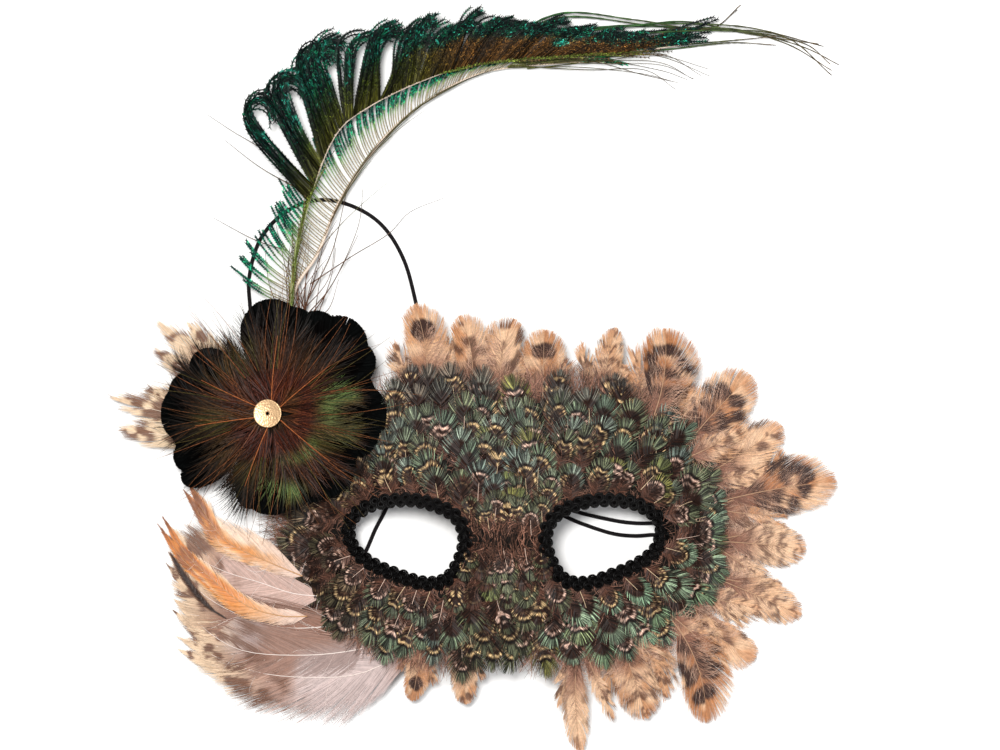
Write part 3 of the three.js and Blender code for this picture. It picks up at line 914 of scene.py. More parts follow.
def make_rim():
    """Seventeen tufts of three tan feathers that stand out past the edge of the mask."""
    centre = np.array([0.0, 5.0])
    for i, (style, half, paleness) in RIM.items():
        plume = Plume()
        line = middle_line(f"rim_feather_{i}", centre)
        for k, (swing, scale, sink, broad) in enumerate(RIM_TUFT):
            main = k == 0
            scale = scale if main else scale * chance.uniform(0.85, 1.12)
            path = turned(line, swing + chance.normal(0, 0.06), scale, sink)
            share = np.linspace(0, 1, len(path))[:, None]
            aside = np.array([line[0][1] - line[-1][1], line[-1][0] - line[0][0]])
            path[:, :2] += aside * chance.normal(0, 0.16) * (share ** 2 - share)
            chosen = style if main else pick(["bars", "blots"])
            pale = paleness if main else 0.35 + 0.6 * paleness
            wide = half * broad
            paints = [tan_paint(wide, chosen, pale, chance.integers(1, 900)) for _ in range(2)]
            soft_feather(plume, path, wide, paints, **RIM_FORM, **(RIM_MAIN if main else RIM_SIDE))
        plume.piece(f"rim_tuft_{i}", "tan", f"rim_feather_{i}")


# ---------------------------------------------------------------- side fan

# Long hackles sweep from under the cheek to the left, and their tips curve up. Each has its
# path, the half widths of its upper and lower vane, and its colour.
FAN = {
    1: ([(-72, -13, 8.6), (-84, -8, 8.6), (-99, -1, 9), (-106, 7, 8.4), (-113, 19, 7)], (9, 3.4),
        "c07428"),
    2: ([(-70, -27, 10), (-80, -27, 10.6), (-93, -23, 11), (-107, -12, 10), (-115, -4, 9),
         (-122, 7, 7)], (4.5, 3.6), "c87420"),
    3: ([(-64, -20, 8), (-76, -19, 7.6), (-88, -15, 7.4), (-101, -11, 7), (-112, -5, 6),
         (-120, 4, 5)], (17, 12), "b8988c"),
    4: ([(-54, -29, 9.5), (-66, -31, 9), (-81, -31, 8.4), (-97, -26, 7.6), (-110, -18, 6.6),
         (-119, -7, 5)], (18, 12), "7e5745"),
    5: ([(-43, -36, 13), (-53, -39, 12), (-70, -41, 10), (-92, -40, 8.4), (-105, -34, 7),
         (-117, -23, 5)], (22, 9), "947d77"),
    6: ([(-30, -37, 15), (-38, -41, 14), (-50, -47, 12), (-63, -49, 10.4), (-85, -48, 8.6),
         (-101, -43, 7), (-115, -36, 5)], (17, 12), "bba7a3"),
}
DARK_STREAKS = [
    [(-98, -29, 9.4), (-106, -24, 9), (-113, -16, 8), (-120, -5, 6.6)],
    [(-96, -23, 9.6), (-106, -15, 9.2), (-115, -5, 8)],
]


def fan_paint(golden, colour_code, seed):
    """Golden hackles darken along the shaft; pale ones have brown blots near their tips."""
    base = hue(colour_code)

    def paint(u, out, s, x, y):
        streaks = each_barb(u, 0.86, 0.22)
        if golden:
            core = out + 1.8 * (cloud(u * 14, out * 0.4, 1.0, seed) - 0.5)
            colour = mix(base, hue("dcc2ae"), 0.92 * rise(1.2, 3.8, core))
            dark = (1 - rise(0.3, 1.8, core)) * rise(0.4, 0.9, u)
            colour = mix(colour, hue("6a3612"), 0.8 * dark)
            return mix(hue("c8aa99"), colour, rise(0.08, 0.5, u)) * streaks
        colour = mix(base, hue("7c4c34"), 0.55 * rise(0.4, 0.8, cloud(x, y, 14.0, 8)))
        colour = mix(colour, hue("dcc0a0"), 0.9 * rise(0.6, 0.86, u))
        blot = cloud(x, y, 3.4, seed) + 0.35 * (cloud(x, y, 1.2, seed + 1) - 0.5)
        colour = mix(colour, hue("5e3824"), 0.85 * rise(0.54, 0.66, blot) * rise(0.46, 0.62, u))
        return colour * streaks

    return paint


def dark_paint(u, out, s, x, y):
    return mix(hue("2a170f"), hue("8a6650"), rise(0.3, 1.0, s))


HACKLE_FORM = dict(dense=300, thick=0.15, down=7, middle=0.5, along=0.58, lance=0.5, spread=26,
                   fray=0.03, curl=0.2, start=0.02, end=0.99, roll=0.12,
                   down_colours="cbb6ae eadfd8")
STREAK_FORM = dict(dense=90, thick=0.14, down=0, shaft_colour="2a1a12")
CORNER_FORM = dict(dense=210, thick=0.14, spread=24, middle=0.55, along=0.52, roll=0.2, fray=0.06,
                   shaft_colour="e6d6c4", down=60)
# The half widths of the two corner tufts, and how far each of their feathers is swung, its
# length and how far it is sunk
CORNER_HALVES = {1: 7.0, 2: 9.0}
CORNER_TUFT = [(0, 1.0, 0), (0.16, 0.9, 0.6), (-0.14, 0.86, 0.9)]


def make_fan():
    """The hackles at the lower left, and the two corner tufts behind the rosette."""
    for i, (path, (upper, lower), colour_code) in FAN.items():
        golden = i < 3
        plume = Plume()
        paint = fan_paint(golden, colour_code, chance.integers(1, 900))
        for swing, sink in ((0, 0), (0.05, 0.5)):
            soft_feather(plume, turned(np.array(path, float), swing, 1.0, sink), upper,
                         (paint, paint), other=lower,
                         shaft_colour="b98a5c" if golden else "e6d6ce", **HACKLE_FORM)
        if i == 4:
            for streak in DARK_STREAKS:
                soft_feather(plume, streak, 2.0, (dark_paint, dark_paint), **STREAK_FORM)
        plume.piece(f"hackle_tuft_{i}", "golden" if golden else "hackle", f"hackle_{i}")
    for i, half in CORNER_HALVES.items():
        plume = Plume()
        line = middle_line(f"corner_feather_{i}", np.array([-80.0, 40.0]))
        for swing, scale, sink in CORNER_TUFT:
            paint = fan_paint(False, "ccb492", chance.integers(1, 900))
            soft_feather(plume, turned(line, swing, scale, sink), half, (paint, paint),
                         **CORNER_FORM)
        plume.piece(f"corner_tuft_{i}", "hackle", f"corner_feather_{i}")


# ---------------------------------------------------------------- rosette

ROSETTE_TILT = 0.2


def centre_of(node):
    """The centre of a CAD node's box, in mm."""
    low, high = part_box(node)
    return ((np.array(low) + np.array(high)) / 2 - ORIGIN) / MM


ROSETTE = centre_of("rosette_disc")


def rosette_level(x, y, above):
    """A height above the plane of the tilted felt disc."""
    return ROSETTE[2] + ROSETTE_TILT * (x - ROSETTE[0]) + above


def petal_paint(u, out, s, x, y):
    # Towards the tip the black turns a cooler, bluer black: a painted blue-black sheen
    colour = mix(hue("020101"), hue("050606"), rise(0.7, 1.0, u))
    return colour * each_barb(u, 0.3, 1.2)


# Each petal group: how far its feathers are swung, their length and their half width.
# Gaps are left at the upper left and at the lower left.
PETAL_SET = [(0, 1.02, 12.5), (0.33, 0.93, 10.5), (-0.3, 0.97, 10.5)]
PETALS_BESIDE_GAP = {
    3: [(0, 1.02, 12.0), (-0.33, 0.97, 10.5), (0.24, 0.93, 7.0)],
    4: [(0.22, 0.95, 8.5), (0.52, 0.93, 9.0)],
    6: [(-0.16, 1.03, 7.5), (-0.4, 1.0, 9.0)],
    7: [(0, 1.0, 12.0), (0.3, 0.97, 11.0), (-0.33, 0.98, 7.5)],
}


def make_petals():
    """Eight groups of broad black feathers round the felt disc."""
    for i in range(1, 9):
        plume = Plume()
        line = middle_line(f"petal_{i}", ROSETTE[:2])
        for k, (swing, scale, half) in enumerate(PETALS_BESIDE_GAP.get(i, PETAL_SET)):
            path = spline(turned(line, swing, scale * 0.93), 20)
            top = 2.6 - 0.55 * k

            def lift(x, y, u, out, top=top, half=half):
                hump = 1.2 * np.sin(np.pi * np.clip(u, 0, 1)) - 1.0 * (out / half) ** 2
                return rosette_level(x, y, top + hump)

            feather = Feather(plume, path, lift, petal_paint)
            n = 90
            for side in (1, -1):
                t = np.linspace(0.1, 0.97, n)
                lean = np.radians(52) * (1 - (t / 0.97) ** 4) + np.radians(4)
                feather.vane(side, t, lean + clumps(n, 9, 0.02), (0.68, 0.4, half), curl=0.25,
                             thick=0.38, ragged=0.012, segments=7, point=0.7, roll=0.25)
            feather.quill(0.02, 0.9, 0.3, hue("0c0908"))
        plume.piece(f"petal_group_{i}", "petal", f"petal_{i}")


def bronze_paint(green):
    """Brown near the middle and black at the tips, with green patches between."""

    def paint(u, out, s, x, y):
        far = np.hypot(x - ROSETTE[0], y - ROSETTE[1])
        colour = mix(hue("582618"), hue("3a1c10"), rise(8, 26, far))
        colour = mix(colour, hue("3c3814"), 0.55 * rise(0.45, 0.75, cloud(x, y, 9.0, 4)))
        patch = rise(0.1, 0.42, cloud(x, y, 11.0, 9))
        colour = mix(colour, hue("7c9c56"), 0.9 * green * patch * band(far, 17, 32, 4))
        colour = mix(colour, hue("0b0706"), 0.85 * rise(21 + 10 * green, 33 + 7 * green, far))
        lit = chance.random((len(u), 1, 1))
        return mix(colour, hue("7c4c2a"), (0.4 * (lit > 0.9))[..., 0]) * (0.3 + 0.7 * lit)

    return paint


HAIR_COLOURS = ["5a3620 7a4c2c", "3c3a18 5a4a28", "6a3c22 8a5636"]
# How far each bronze plume's middle feather is turned out of its even place, and how far its
# other feathers are swung, in radians
BRONZE_TURNS = [0.17, 0.06, 0.02, -0.28, -0.34, -0.2]
BRONZE_SWINGS = [0.3, -0.27, 0.55, -0.5]
# The green side of the rosette, in degrees
GREEN_FROM, GREEN_TO = -105, 36
STRAY_HAIRS = 12


def make_bronze():
    """Six plumes of loose bronze barbs over the petals, with stray hairs past their tips."""
    for i, first_turn in enumerate(BRONZE_TURNS, 1):
        plume = Plume()
        line = middle_line(f"bronze_feather_{i}", ROSETTE[:2])
        flat = line * [1, 1, 0]
        flat[0] = 0.55 * flat[0] + 0.45 * ROSETTE * [1, 1, 0]
        swirl = chance.normal(0.1, 0.25)
        for k, swing in enumerate([first_turn, *BRONZE_SWINGS]):
            path = spline(turned(flat, swing + chance.normal(0, 0.07), 0.92 - 0.05 * k), 20)
            way = math.degrees(math.atan2(*(path[-1] - path[0])[1::-1]))
            green = 1.0 if GREEN_FROM < way < GREEN_TO else 0.25 * chance.random()

            def lift(x, y, u, out, k=k):
                return rosette_level(x, y, 6.4 - 0.5 * k + 1.6 * np.sin(2.2 * np.clip(u, 0, 1.3)))

            # This number isn't used, but the draws after it depend on its being drawn
            chance.integers(1, 900)
            feather = Feather(plume, path, lift, bronze_paint(green))
            n = 64
            for side in (1, -1):
                t = np.sort(chance.uniform(0.02, 0.9, n))
                lean = np.radians(chance.uniform(12, 30, n)) * (1 - 0.5 * t) + clumps(n, 6, 0.09)
                length = (0.8 - 0.45 * t) * feather.size * chance.uniform(0.7, 1.12, n)
                curl = side * swirl + chance.normal(0.05, 0.12, n)
                feather.barbs(side, t, lean, curl, length, 0.13, segments=10, point=0.25,
                              wild=0.025)
            if k == 0:
                feather.quill(0.02, 0.8, 0.22, hue("96552f"), steps=20, raise_by=0.7)
        for _ in range(STRAY_HAIRS):
            way = math.atan2(*(flat[-1] - flat[0])[1::-1]) + chance.uniform(-0.5, 0.5)
            far, bend = chance.uniform(38, 53), chance.normal(0, 9)
            line = []
            for k, r in enumerate((16, far * 0.55, far * 0.78, far)):
                aside = bend * (r / far) ** 2
                x = ROSETTE[0] + r * math.cos(way) - aside * math.sin(way)
                y = ROSETTE[1] + r * math.sin(way) + aside * math.cos(way)
                line.append((x, y, rosette_level(x, y, 8.4 - 0.002 * k * k)))
            strand(plume, line, 0.12, pick(HAIR_COLOURS))
        plume.piece(f"bronze_plume_{i}", "bronze", f"bronze_feather_{i}")


def make_disc():
    """The flat felt disc that everything in the rosette is sewn to, with a ragged edge."""
    plume = Plume()
    radius = 22.0
    turn = circle(72)
    profile = [(0.1, -0.7), (12, -0.7), (radius - 0.4, -0.7), (radius, -0.3), (radius, 0.3),
               (radius - 0.4, 0.7), (12, 0.72), (0.1, 0.72)]
    rings = []
    for r, z in profile:
        ragged = r + 0.25 * np.sin(turn * 23) * (r > 20)
        x, y = ROSETTE[0] + ragged * np.cos(turn), ROSETTE[1] + ragged * np.sin(turn)
        rings.append(np.column_stack([x, y, rosette_level(x, y, z)]))
    plume.grid(np.array(rings)[None], hue("17130f"), wrap=True)
    plume.piece("rosette_felt", "felt", "rosette_disc")


def make_sequin():
    """A thin cupped disc with a hole, pressed with a fine pebbled texture."""
    plume = Plume()
    centre = centre_of("sequin")
    radius, hole, cup, thick = 5.0, 0.6, 0.02, 0.35
    turn = circle(96)
    profile = [(hole, 0.0)]
    profile += [(r, cup * r * r) for r in np.linspace(1, radius - 0.25, 14)]
    profile += [(radius, 0.55), (radius, 0.7)]
    front = len(profile)
    profile += [(r, cup * r * r + thick) for r in np.linspace(radius - 0.2, 1, 22)]
    profile += [(hole, thick), (hole, 0.0)]
    rings = []
    for k, (r, z) in enumerate(profile):
        x, y = centre[0] + r * np.cos(turn), centre[1] + r * np.sin(turn)
        pebble = 0.06 * (cloud(x, y, 0.34, 5) - 0.5) if k >= front else 0
        height = centre[2] - 0.5 + ROSETTE_TILT * (x - centre[0]) + z + pebble
        rings.append(np.column_stack([x, y, height]))
    plume.grid(np.array(rings)[None], hue("ecd0a2"), wrap=True)
    plume.piece("gold_sequin", "sequin", "sequin")


# ---------------------------------------------------------------- peacock swords

QUILL_STEPS = 120
UPPER_QUILL = [
    (-77, 54, 12), (-76.5, 86, 13), (-73, 112, 14), (-62, 143.6, 14.2), (-47.9, 156.2, 13.6),
    (-24.5, 167, 12), (-5, 171.7, 10.4), (19, 174, 8.3), (48, 176, 5.4), (67, 178.5, 3.6),
]
LOWER_QUILL = [
    (-80.5, 58, 8.6), (-76, 88, 8.6), (-67.3, 103, 8.4), (-59, 122.4, 8), (-45, 142.9, 7.2),
    (-29.2, 157, 6.2), (-9, 167.8, 4.8), (19, 171.4, 3.2), (41, 172, 2.2),
]
DEEP_TEAL, EMERALD = hue("020f10"), hue("0b5a3e")
OLIVE, COPPER = hue("343c10"), hue("6c4a24")
BONE = hue("d6c2b0")


def upper_paint(u, out, s, x, y):
    """Olive to copper barbs with teal tips, and a bright eye near the end of the vane."""
    bead = chance.random(u.shape)
    tip = mix(DEEP_TEAL, EMERALD, rise(0.45, 1.0, bead))
    # A few bright teal specks are painted glints of the barbules
    tip = mix(tip, hue("2f9c86"), 0.7 * (chance.random(u.shape) > 0.9))
    inner = mix(hue("182810"), OLIVE, rise(0.36, 0.5, u))
    inner = mix(inner, hue("5c5a20"), 0.8 * (1 - rise(0.05, 0.25, s)))
    inner = mix(inner, COPPER, rise(0.54, 0.66, u)) * (0.5 + 0.6 * bead)[..., None]
    start = np.interp(u, [0.3, 0.45, 0.6, 0.8], [0.1, 0.2, 0.38, 0.42]) + 0.14 * (bead - 0.5)
    colour = mix(inner, tip, rise(0.0, 0.24, s - start))
    eye = np.hypot((x - 19.5) / 3.0, (y - 178.4 - 0.15 * (x - 19.5)) / 1.1)
    colour = mix(colour, hue("2fbfa4"), 0.95 * (1 - rise(0.6, 1.3, eye)))
    return colour * each_barb(u, 0.2, 1.0)


def edge_paint(u, out, s, x, y):
    colour = mix(hue("5f6d2c"), hue("4f3b28"), rise(0.4, 0.9, s))
    return colour * (0.6 + 0.6 * chance.random(u.shape))[..., None]


def lower_paint(u, out, s, x, y):
    bead = chance.random(u.shape)
    tip = mix(hue("06302a"), hue("1c8a62"), rise(0.4, 0.95, bead))
    colour = mix(hue("8d8168"), hue("6d8a58"), rise(0.25, 0.5, s))
    return mix(colour, tip, rise(0.48, 0.66, s + 0.1 * (bead - 0.5)))


def herl_paint(u, out, s, x, y):
    return mix(hue("54402f"), hue("3f4a2c"), s) * each_barb(u, 0.7, 0.5)


STRAND_STEPS = 60
STRAND_LOWEST = 0.8


def strand(plume, points, radius, colours, bead=0.0):
    """One loose barb of herl, thick at its root and more or less beaded."""
    n = STRAND_STEPS
    line = spline(points, n)
    line[:, 2] = np.maximum(line[:, 2], STRAND_LOWEST)
    share = np.linspace(0, 1, n)
    colour = mix(*hues(colours), share) * chance.uniform(0.7, 1.2, (n, 1))
    width = radius * (1.15 - 0.8 * share) * (1 + bead * chance.random(n))
    plume.tube(line, width, colour, sides=4)


# Loose herl: past the tip, under the long vane, and springing from the two quills
TIP_STRANDS = [
    [(14, 181, 6), (40, 184, 5), (76, 184, 3), (100, 180, 2), (117, 168, 1.5)],
    [(20, 178, 6), (52, 182, 5), (84, 183, 3), (106, 178, 2), (119, 169, 1.5)],
    [(16, 180, 6), (45, 186, 5), (66, 187, 4), (88, 184, 2.5), (114, 178, 1.5)],
    [(-4, 178, 7), (20, 188, 5), (48, 187, 4), (72, 184, 3), (84, 191, 2)],
    [(30, 174, 5), (55, 177, 3), (80, 180, 2), (97, 181, 1.5)],
]
UNDER_STRANDS = [
    [(4, 171, 6), (32, 172, 5), (55, 170, 3), (67, 166, 1.5)],
    [(0, 170, 5), (28, 171, 4), (50, 168, 2), (62, 163, 1.5)],
    [(10, 171, 5), (36, 174, 4), (56, 174, 3), (72, 167, 1.5)],
]
LOOSE_STRANDS = [
    [(-70, 92, 8), (-55, 102, 7), (-42, 110, 6), (-34, 118, 5), (-22, 123, 4)],
    [(-72, 128, 11), (-85, 139, 9), (-98, 147, 7), (-107, 153, 5)],
    [(-74, 126, 11), (-88, 134, 9), (-101, 144, 7)],
    [(-78, 104, 9), (-90, 108, 7), (-105, 116, 5)],
    [(-72, 84, 8), (-62, 104, 8), (-56, 128, 6), (-50, 136, 5)],
    [(-72, 80, 8), (-62, 92, 8), (-53, 112, 6), (-51, 127, 5)],
]


def strands(plume, lines, copies, stray, radius, colours, **form):
    """Copies of each line, every one a little astray."""
    for points in lines:
        for _ in range(copies):
            strand(plume, np.array(points) + chance.normal(0, stray, (len(points), 3)), radius,
                   colours, **form)


def make_upper_sword(upper):
    """A long vane whose barbs hook back at its root, a narrow edge opposite, and loose herl."""
    plume = Plume()
    level = level_of(upper)
    feather = Feather(plume, upper, lambda x, y, u, out: level(u) + 1.2 + 0.03 * out, upper_paint)
    n = 520
    marks = [0.3, 0.34, 0.38, 0.44, 0.55, 0.7, 0.82, 0.9]
    t = 0.3 + 0.6 * np.linspace(0, 1, n) ** 0.9 + chance.normal(0, 0.0008, n)
    lean = np.interp(t, marks, np.radians([54, 53, 52, 52, 54, 47, 25, 8]))
    length = np.interp(t, marks, [52, 52, 46, 36, 26, 20, 21, 27])
    length = length * (1 + clumps(n, 14, 0.03)) * chance.normal(1, 0.025, n)
    length = length * (1 + rise(0.72, 0.88, t) * chance.uniform(-0.6, 0.4, n))
    curl = np.interp(t, marks, [0.35, 0.3, 0.2, 0.1, 0.1, 0.2, 0.2, 0.1])
    hook = np.interp(t, marks, [3.7, 3.4, 2.7, 1.6, 1.1, 0.8, 0.3, 0.0])
    hook = hook * (1 + clumps(n, 14, 0.1))
    parting = np.interp(t, marks, [0.1, 0.12, 0.12, 0.1, 0.09, 0.07, 0.04, 0.02])
    lean = lean + clumps(n, 14, 1.0) * parting
    feather.barbs(1, t, lean, curl + clumps(n, 9, 0.12), length, 0.4, segments=30, point=0.6,
                  roll=0.8, wild=0.015, hook=hook, fuzz=1.2)
    n = 34
    t = np.linspace(0.6, 0.86, n)
    feather.paint = edge_paint
    feather.barbs(-1, t, chance.normal(0.08, 0.03, n), chance.normal(0.05, 0.05, n),
                  np.interp(t, [0.6, 0.9], [16, 26]), 0.24, segments=16, point=0.4, roll=0.8,
                  fuzz=0.6)
    n = 14
    for side in (1, -1):
        t = chance.uniform(0.1, 0.32, n)
        feather.barbs(side, t, chance.uniform(0.03, 0.12, n), chance.normal(0, 0.1, n),
                      chance.uniform(10, 24, n), 0.16, segments=10, point=0.4, roll=0.8, fuzz=0.4)
    strands(plume, TIP_STRANDS, 2, 1.2, 0.32, "24602f 5d4a34", bead=0.6)
    strands(plume, UNDER_STRANDS, 3, 1.1, 0.2, "4e5226 4a3a2a")
    plume.piece("upper_sword_barbs", "peacock", "upper_sword_vane")


def make_lower_sword(lower):
    """A short open vane with green tips, and loose brown herl about the roots of both swords."""
    plume = Plume()
    level = level_of(lower)
    feather = Feather(plume, lower, lambda x, y, u, out: level(u) + 0.6 + 0.05 * out, lower_paint)
    n = 150
    marks = [0.12, 0.25, 0.36, 0.5, 0.61, 0.73, 1.0]
    t = np.linspace(0.14, 0.97, n) + chance.normal(0, 0.001, n)
    lean = np.interp(t, marks, np.radians([84, 82, 76, 66, 54, 36, 8]))
    length = np.interp(t, marks, [23, 23, 20, 13.5, 10, 8, 8]) * chance.normal(1, 0.07, n)
    feather.barbs(1, t, lean + clumps(n, 5, 0.04), np.full(n, 0.45), length, 0.18, segments=26,
                  point=1.7, roll=0.6, wild=0.01, fuzz=0.85, fuzz_from=0.52)
    n = 16
    t = chance.uniform(0.24, 0.66, n)
    length = chance.uniform(24, 42, n)
    feather.paint = herl_paint
    feather.barbs(-1, t, chance.uniform(0.02, 0.07, n), -0.009 * length, length, 0.15,
                  segments=24, point=0.4, roll=0.6, wild=0.01)
    for points in LOOSE_STRANDS:
        strand(plume, points, 0.2, "6d5444 4a3a30")
    for _ in range(26):
        root = np.array([-74 + chance.normal(0, 3), 78 + chance.normal(0, 2), 8])
        way = math.radians(chance.uniform(45, 110))
        far = chance.uniform(16, 38)
        end = root + [far * math.cos(way), far * math.sin(way), -1]
        middle = (root + end) / 2 + [chance.normal(0, 2), chance.normal(0, 2), 1]
        strand(plume, [root, middle, end], 0.18, "6b4430 4c3428")
    plume.piece("lower_sword_barbs", "peacock", "lower_sword_vane")


def make_shaft(name, line, radius, root_colour):
    """The quill of one sword, which tapers and turns to the colour of bone."""
    plume = Plume()
    share = np.linspace(0, 1, len(line))
    colour = mix(root_colour, BONE, rise(0.22, 0.4, share))
    plume.tube(line, radius * (1 - 0.82 * share), colour, sides=8)
    plume.piece(f"{name}_shaft", "quill", f"{name}_quill")


def make_swords():
    upper, lower = (spline(line, QUILL_STEPS) for line in (UPPER_QUILL, LOWER_QUILL))
    make_upper_sword(upper)
    make_lower_sword(lower)
    make_shaft("upper_sword", upper, 0.9, hue("8f9a62"))
    make_shaft("lower_sword", lower, 0.8, BONE)


# ---------------------------------------------------------------- shell and lining

# The face lies between these in plan
SPAN_X, SPAN_Y = (-80, 80), (-42, 56)


def face_sheet(name, outline, holes, low, high, spacing=3.0):
    """A closed sheet that follows the face, cut to an outline with holes in it.

    It lies from low to high above the back of the mask, with its points so far apart in plan.
    """
    loops = [outline, *holes]
    points, edges = [], []
    for loop in loops:
        first = len(points)
        points += [tuple(p) for p in loop]
        edges += [(first + i, first + (i + 1) % len(loop)) for i in range(len(loop))]
    gx, gy = np.meshgrid(np.arange(*SPAN_X, spacing), np.arange(*SPAN_Y, spacing))
    good = inside(grown(outline, -0.5 * spacing), gx, gy)
    for hole in holes:
        good &= ~inside(grown(hole, 0.5 * spacing), gx, gy)
    points += list(zip(gx[good], gy[good]))
    flat = geometry.delaunay_2d_cdt([Vector(p) for p in points], edges, [], 0, 1e-6)
    plan = np.array([tuple(p) for p in flat[0]])
    tris = np.array(flat[2])
    middle = plan[tris].mean(1)
    keep = inside(outline, middle[:, 0], middle[:, 1])
    for hole in holes:
        keep &= ~inside(hole, middle[:, 0], middle[:, 1])
    tris = tris[keep]
    z = face(plan[:, 0], plan[:, 1])
    count = len(plan)
    top = np.column_stack([plan, z + high])
    bottom = np.column_stack([plan, z + low])
    sides = np.vstack([tris[:, [0, 1]], tris[:, [1, 2]], tris[:, [2, 0]]])
    seen = {(a, b) for a, b in sides.tolist()}
    rim = [(a, b) for a, b in seen if (b, a) not in seen]
    faces = tris.tolist() + (tris[:, ::-1] + count).tolist()
    faces += [(b, a, a + count, b + count) for a, b in rim]
    made = bpy.data.meshes.new(name)
    made.from_pydata(row(np.vstack([top, bottom])).tolist(), [], faces)
    return smoothed(made)


HOLE_RADIUS = 1.3
CORD_HOLES = [(-63, -5), (-63, -11), (63, 6.4), (63, 1)]


def openings(eye_margin):
    """The eyes and the four holes that the cord goes through."""
    turn = circle(16)
    ring = HOLE_RADIUS * np.column_stack([np.cos(turn), np.sin(turn)])
    return [grown(loop, eye_margin) for loop in eyes.values()] + [ring + at for at in CORD_HOLES]


def make_shell():
    mesh = face_sheet("moulded_shell", edge, openings(0.6), SHELL_BACK, SHELL_FRONT)
    piece("moulded_shell", mesh, "shell", "mask_shell")
    mesh = face_sheet("felt_lining", grown(edge, -1.5), openings(1.2), 0.0, 0.9)
    piece("felt_lining", mesh, "lining", "back_lining")


# ---------------------------------------------------------------- eye braids

LOOP_PITCH = 3.6
LOOP_RADIUS = 1.6
LOOP_OFFSET = 0.85
LOOP_LEVEL = 3.1
LOOP_LAP = 0.45
CORE_LEVEL = 1.2
CORE_RADIUS = 1.8
# The threads of a loop: how much each differs from the loop's radius, and its own radius
LOOP_THREADS = [(0.0, 0.35), (-0.66, 0.3)]


def make_braids():
    """Scroll braid: two rows of overlapping loops of thread, sewn down over a core."""
    turn = np.linspace(0, 2 * np.pi, 25)
    for side, eye in eyes.items():
        plume = Plume()
        middle = grown(eye, BRAID_WIDTH / 2)
        count = 2 * round(length_of(middle) / LOOP_PITCH)
        centres = spline(middle, count, closed=True)
        along, out = loop_directions(centres)
        for k in range(count):
            place = centres[k] + out[k] * LOOP_OFFSET * (-1) ** k
            for wider, radius in LOOP_THREADS:
                xy = place + (LOOP_RADIUS + wider) * (
                    np.cos(turn)[:, None] * along[k] + np.sin(turn)[:, None] * out[k])
                z = face(*xy.T) + SHELL_FRONT + LOOP_LEVEL + LOOP_LAP * np.cos(turn)
                plume.tube(np.column_stack([xy, z]), radius, hue("0a0708"), sides=6)
        line = spline(middle, 160, closed=True)
        core = np.column_stack([line, face(*line.T) + SHELL_FRONT + CORE_LEVEL])
        plume.tube(np.vstack([core, core[:1]]), CORE_RADIUS, hue("070506"), sides=8)
        plume.piece(f"{side}_scroll_braid", "braid", f"{side}_eye_braid")


# ---------------------------------------------------------------- elastic cord

CORD = 1.4
# The height of the cord's middle line where it lies on the table
CORD_Z = 0.85


def on_table(plan):
    return [(x, y, CORD_Z) for x, y in plan]


LONG_STRAND = [
    (63, 6.4, 9.7), (63, 6.4, 6.5), (62.2, 6.3, 3), (59, 6.2, CORD_Z + 0.2),
    *on_table([
        (54.2, 6.1), (46.8, 6.1), (38.5, 7.2), (23.8, 10.8), (12, 16.3), (1, 22.7), (-9, 31),
        (-17.5, 41.5), (-24, 54), (-28.8, 68.5), (-32, 85), (-36.4, 100.8), (-44, 113),
        (-54.5, 120), (-66.6, 122.4), (-78.5, 118.4), (-87.8, 108.7), (-92, 95), (-91.6, 82),
        (-90, 62), (-86, 43), (-79, 31.5), (-71.5, 25), (-65.5, 17), (-63.2, 7),
    ]),
    (-63, -0.5, CORD_Z + 0.2), (-63, -4, 3), (-63, -5, 6.5), (-63, -5, 9.7),
]
SHORT_STRAND = [
    (63, 1, 9.7), (63, 1, 6.5), (62.2, 1, 3), (59, 1.1, CORD_Z + 0.2),
    *on_table([
        (53.6, 1.9), (46.8, 1.5), (38.5, 2.4), (27.7, 5.9), (20.5, 9), (10, 13.8), (0, 19.6),
        (-8, 25.7), (-15, 31.6), (-22, 34.6), (-29.3, 32.6), (-35, 26.6), (-39.5, 18.6),
        (-42.8, 11.2), (-46.6, 4), (-50.4, -4.5), (-54.5, -9.5),
    ]),
    (-59, -11, CORD_Z + 0.2), (-62.2, -11, 3), (-63, -11, 6.5), (-63, -11, 9.7),
]
FOLD = [(-63, -5, 10.1), (-63, -5.6, 12), (-63, -8, 12.9), (-63, -10.4, 12), (-63, -11, 10.1)]
KNOT = np.array([63, 3.7, 12.1])


def cord_curve(name, points, count, node):
    """A round cord along a smooth line, and the line itself, in metres."""
    line = row(spline(points, count))
    curve = bpy.data.curves.new(name, "CURVE")
    curve.dimensions = "3D"
    curve.bevel_depth = CORD / 2 * MM
    curve.bevel_resolution = 4
    curve.use_fill_caps = True
    path = curve.splines.new("POLY")
    path.points.add(count - 1)
    path.points.foreach_set("co", np.column_stack([line, np.ones(count)]).ravel())
    return piece(name, curve, "elastic", node), line


def make_elastic():
    """One thin cord, doubled: its fold shows on the left temple and its knot on the right."""
    long, long_line = cord_curve("elastic_long", LONG_STRAND, 320, "elastic_strand_long")
    short, short_line = cord_curve("elastic_short", SHORT_STRAND, 180, "elastic_strand_short")
    fold, _ = cord_curve("elastic_bight", FOLD, 24, "elastic_fold")
    plume = Plume()
    turn = circle(60)
    knot = np.column_stack([
        1.1 * np.sin(turn) + 1.0 * np.sin(2 * turn),
        1.7 * np.cos(turn) - 1.6 * np.cos(2 * turn),
        -0.75 * np.sin(3 * turn),
    ]) * [0.8, 0.85, 1.0] + KNOT
    plume.tube(np.vstack([knot, knot[:1]]), CORD / 2, hue("131012"), sides=10)
    knot = plume.piece("elastic_tie", "elastic", "elastic_knot")
    tuple(long_line[0])
    length_of(long_line)
    tuple(short_line[0])
    length_of(short_line)


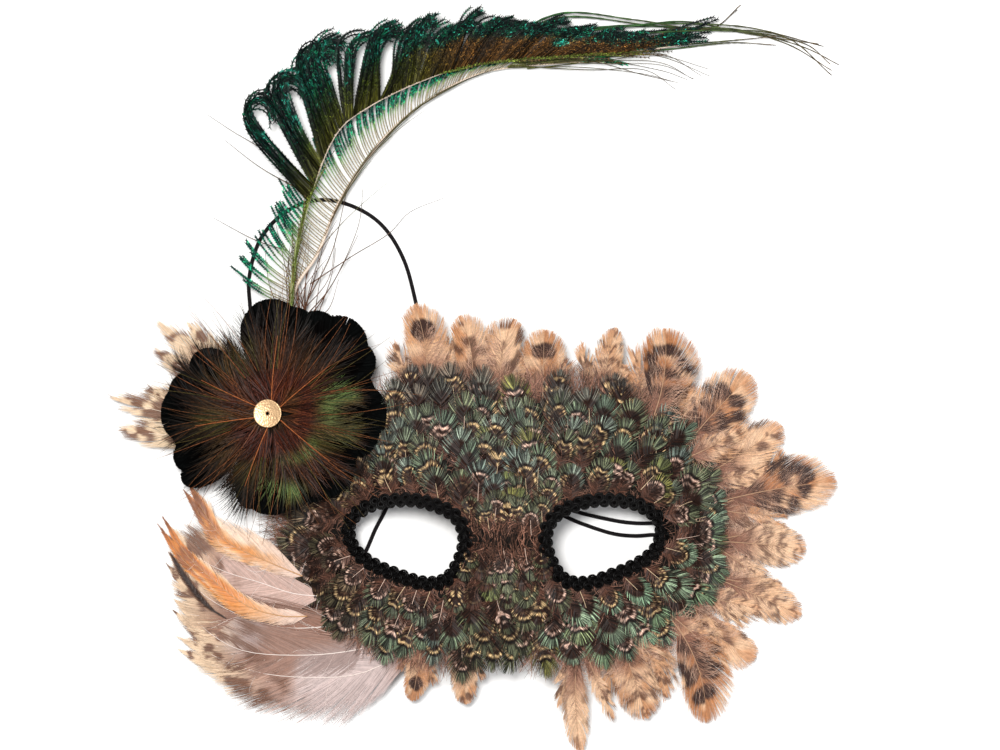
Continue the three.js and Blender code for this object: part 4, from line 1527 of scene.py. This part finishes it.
# ---------------------------------------------------------------- table, light and camera

TABLE_WIDTH = 6.0
TABLE_WHITE = 0.93


def make_stage():
    m = Nodes("pale_table")
    m.shade(m.colour([TABLE_WHITE] * 3), m.noise(9, detail=2.0), 0.985, 1.0)
    m.set(Roughness=0.9, Specular_IOR_Level=0.1)
    half = TABLE_WIDTH / 2
    mesh = bpy.data.meshes.new("table_top")
    corners = [(-half, -half, 0), (half, -half, 0), (half, half, 0), (-half, half, 0)]
    mesh.from_pydata(corners, [], [(0, 1, 2, 3)])
    mesh.materials.append(m.material)
    add_object("table_top", mesh)


def area_light(name, place, size, power, colour):
    """A round lamp that shines on the middle of the mask."""
    data = bpy.data.lights.new(name, "AREA")
    data.shape = "DISK"
    data.size = size
    data.energy = power
    data.color = colour
    lamp = add_object(name, data)
    lamp.location = place
    lamp.rotation_euler = (-Vector(place)).to_track_quat("-Z", "Y").to_euler()


def make_light():
    world = bpy.data.worlds.new("studio")
    bpy.context.scene.world = world
    world.use_nodes = True
    background = world.node_tree.nodes["Background"].inputs
    background["Color"].default_value = (1, 1, 1, 1)
    background["Strength"].default_value = 0.36
    area_light("key", (-0.16, 0.24, 2.3), 0.4, 56, (1.0, 0.99, 0.97))
    area_light("fill", (0.7, -0.4, 1.7), 0.9, 7, (0.97, 0.98, 1.0))


# The camera looks straight down at this point, and sees this width of the table
CAMERA_X, CAMERA_Y = -1.8, 59.4
VIEW_WIDTH = 360
CAMERA_HEIGHT = 2500
SENSOR_WIDTH = 36


def make_camera():
    data = bpy.data.cameras.new("camera")
    data.lens = SENSOR_WIDTH * CAMERA_HEIGHT / VIEW_WIDTH
    data.clip_start = 0.01
    camera = add_object("camera", data)
    camera.location = row([CAMERA_X, CAMERA_Y, CAMERA_HEIGHT])
    bpy.context.scene.camera = camera
    bpy.context.scene.view_settings.view_transform = "Standard"


make_camera()
make_elastic()
make_shell()
make_braids()
make_rim()
make_face()
make_fan()
make_disc()
make_petals()
make_bronze()
make_sequin()
make_swords()
make_stage()
make_light()
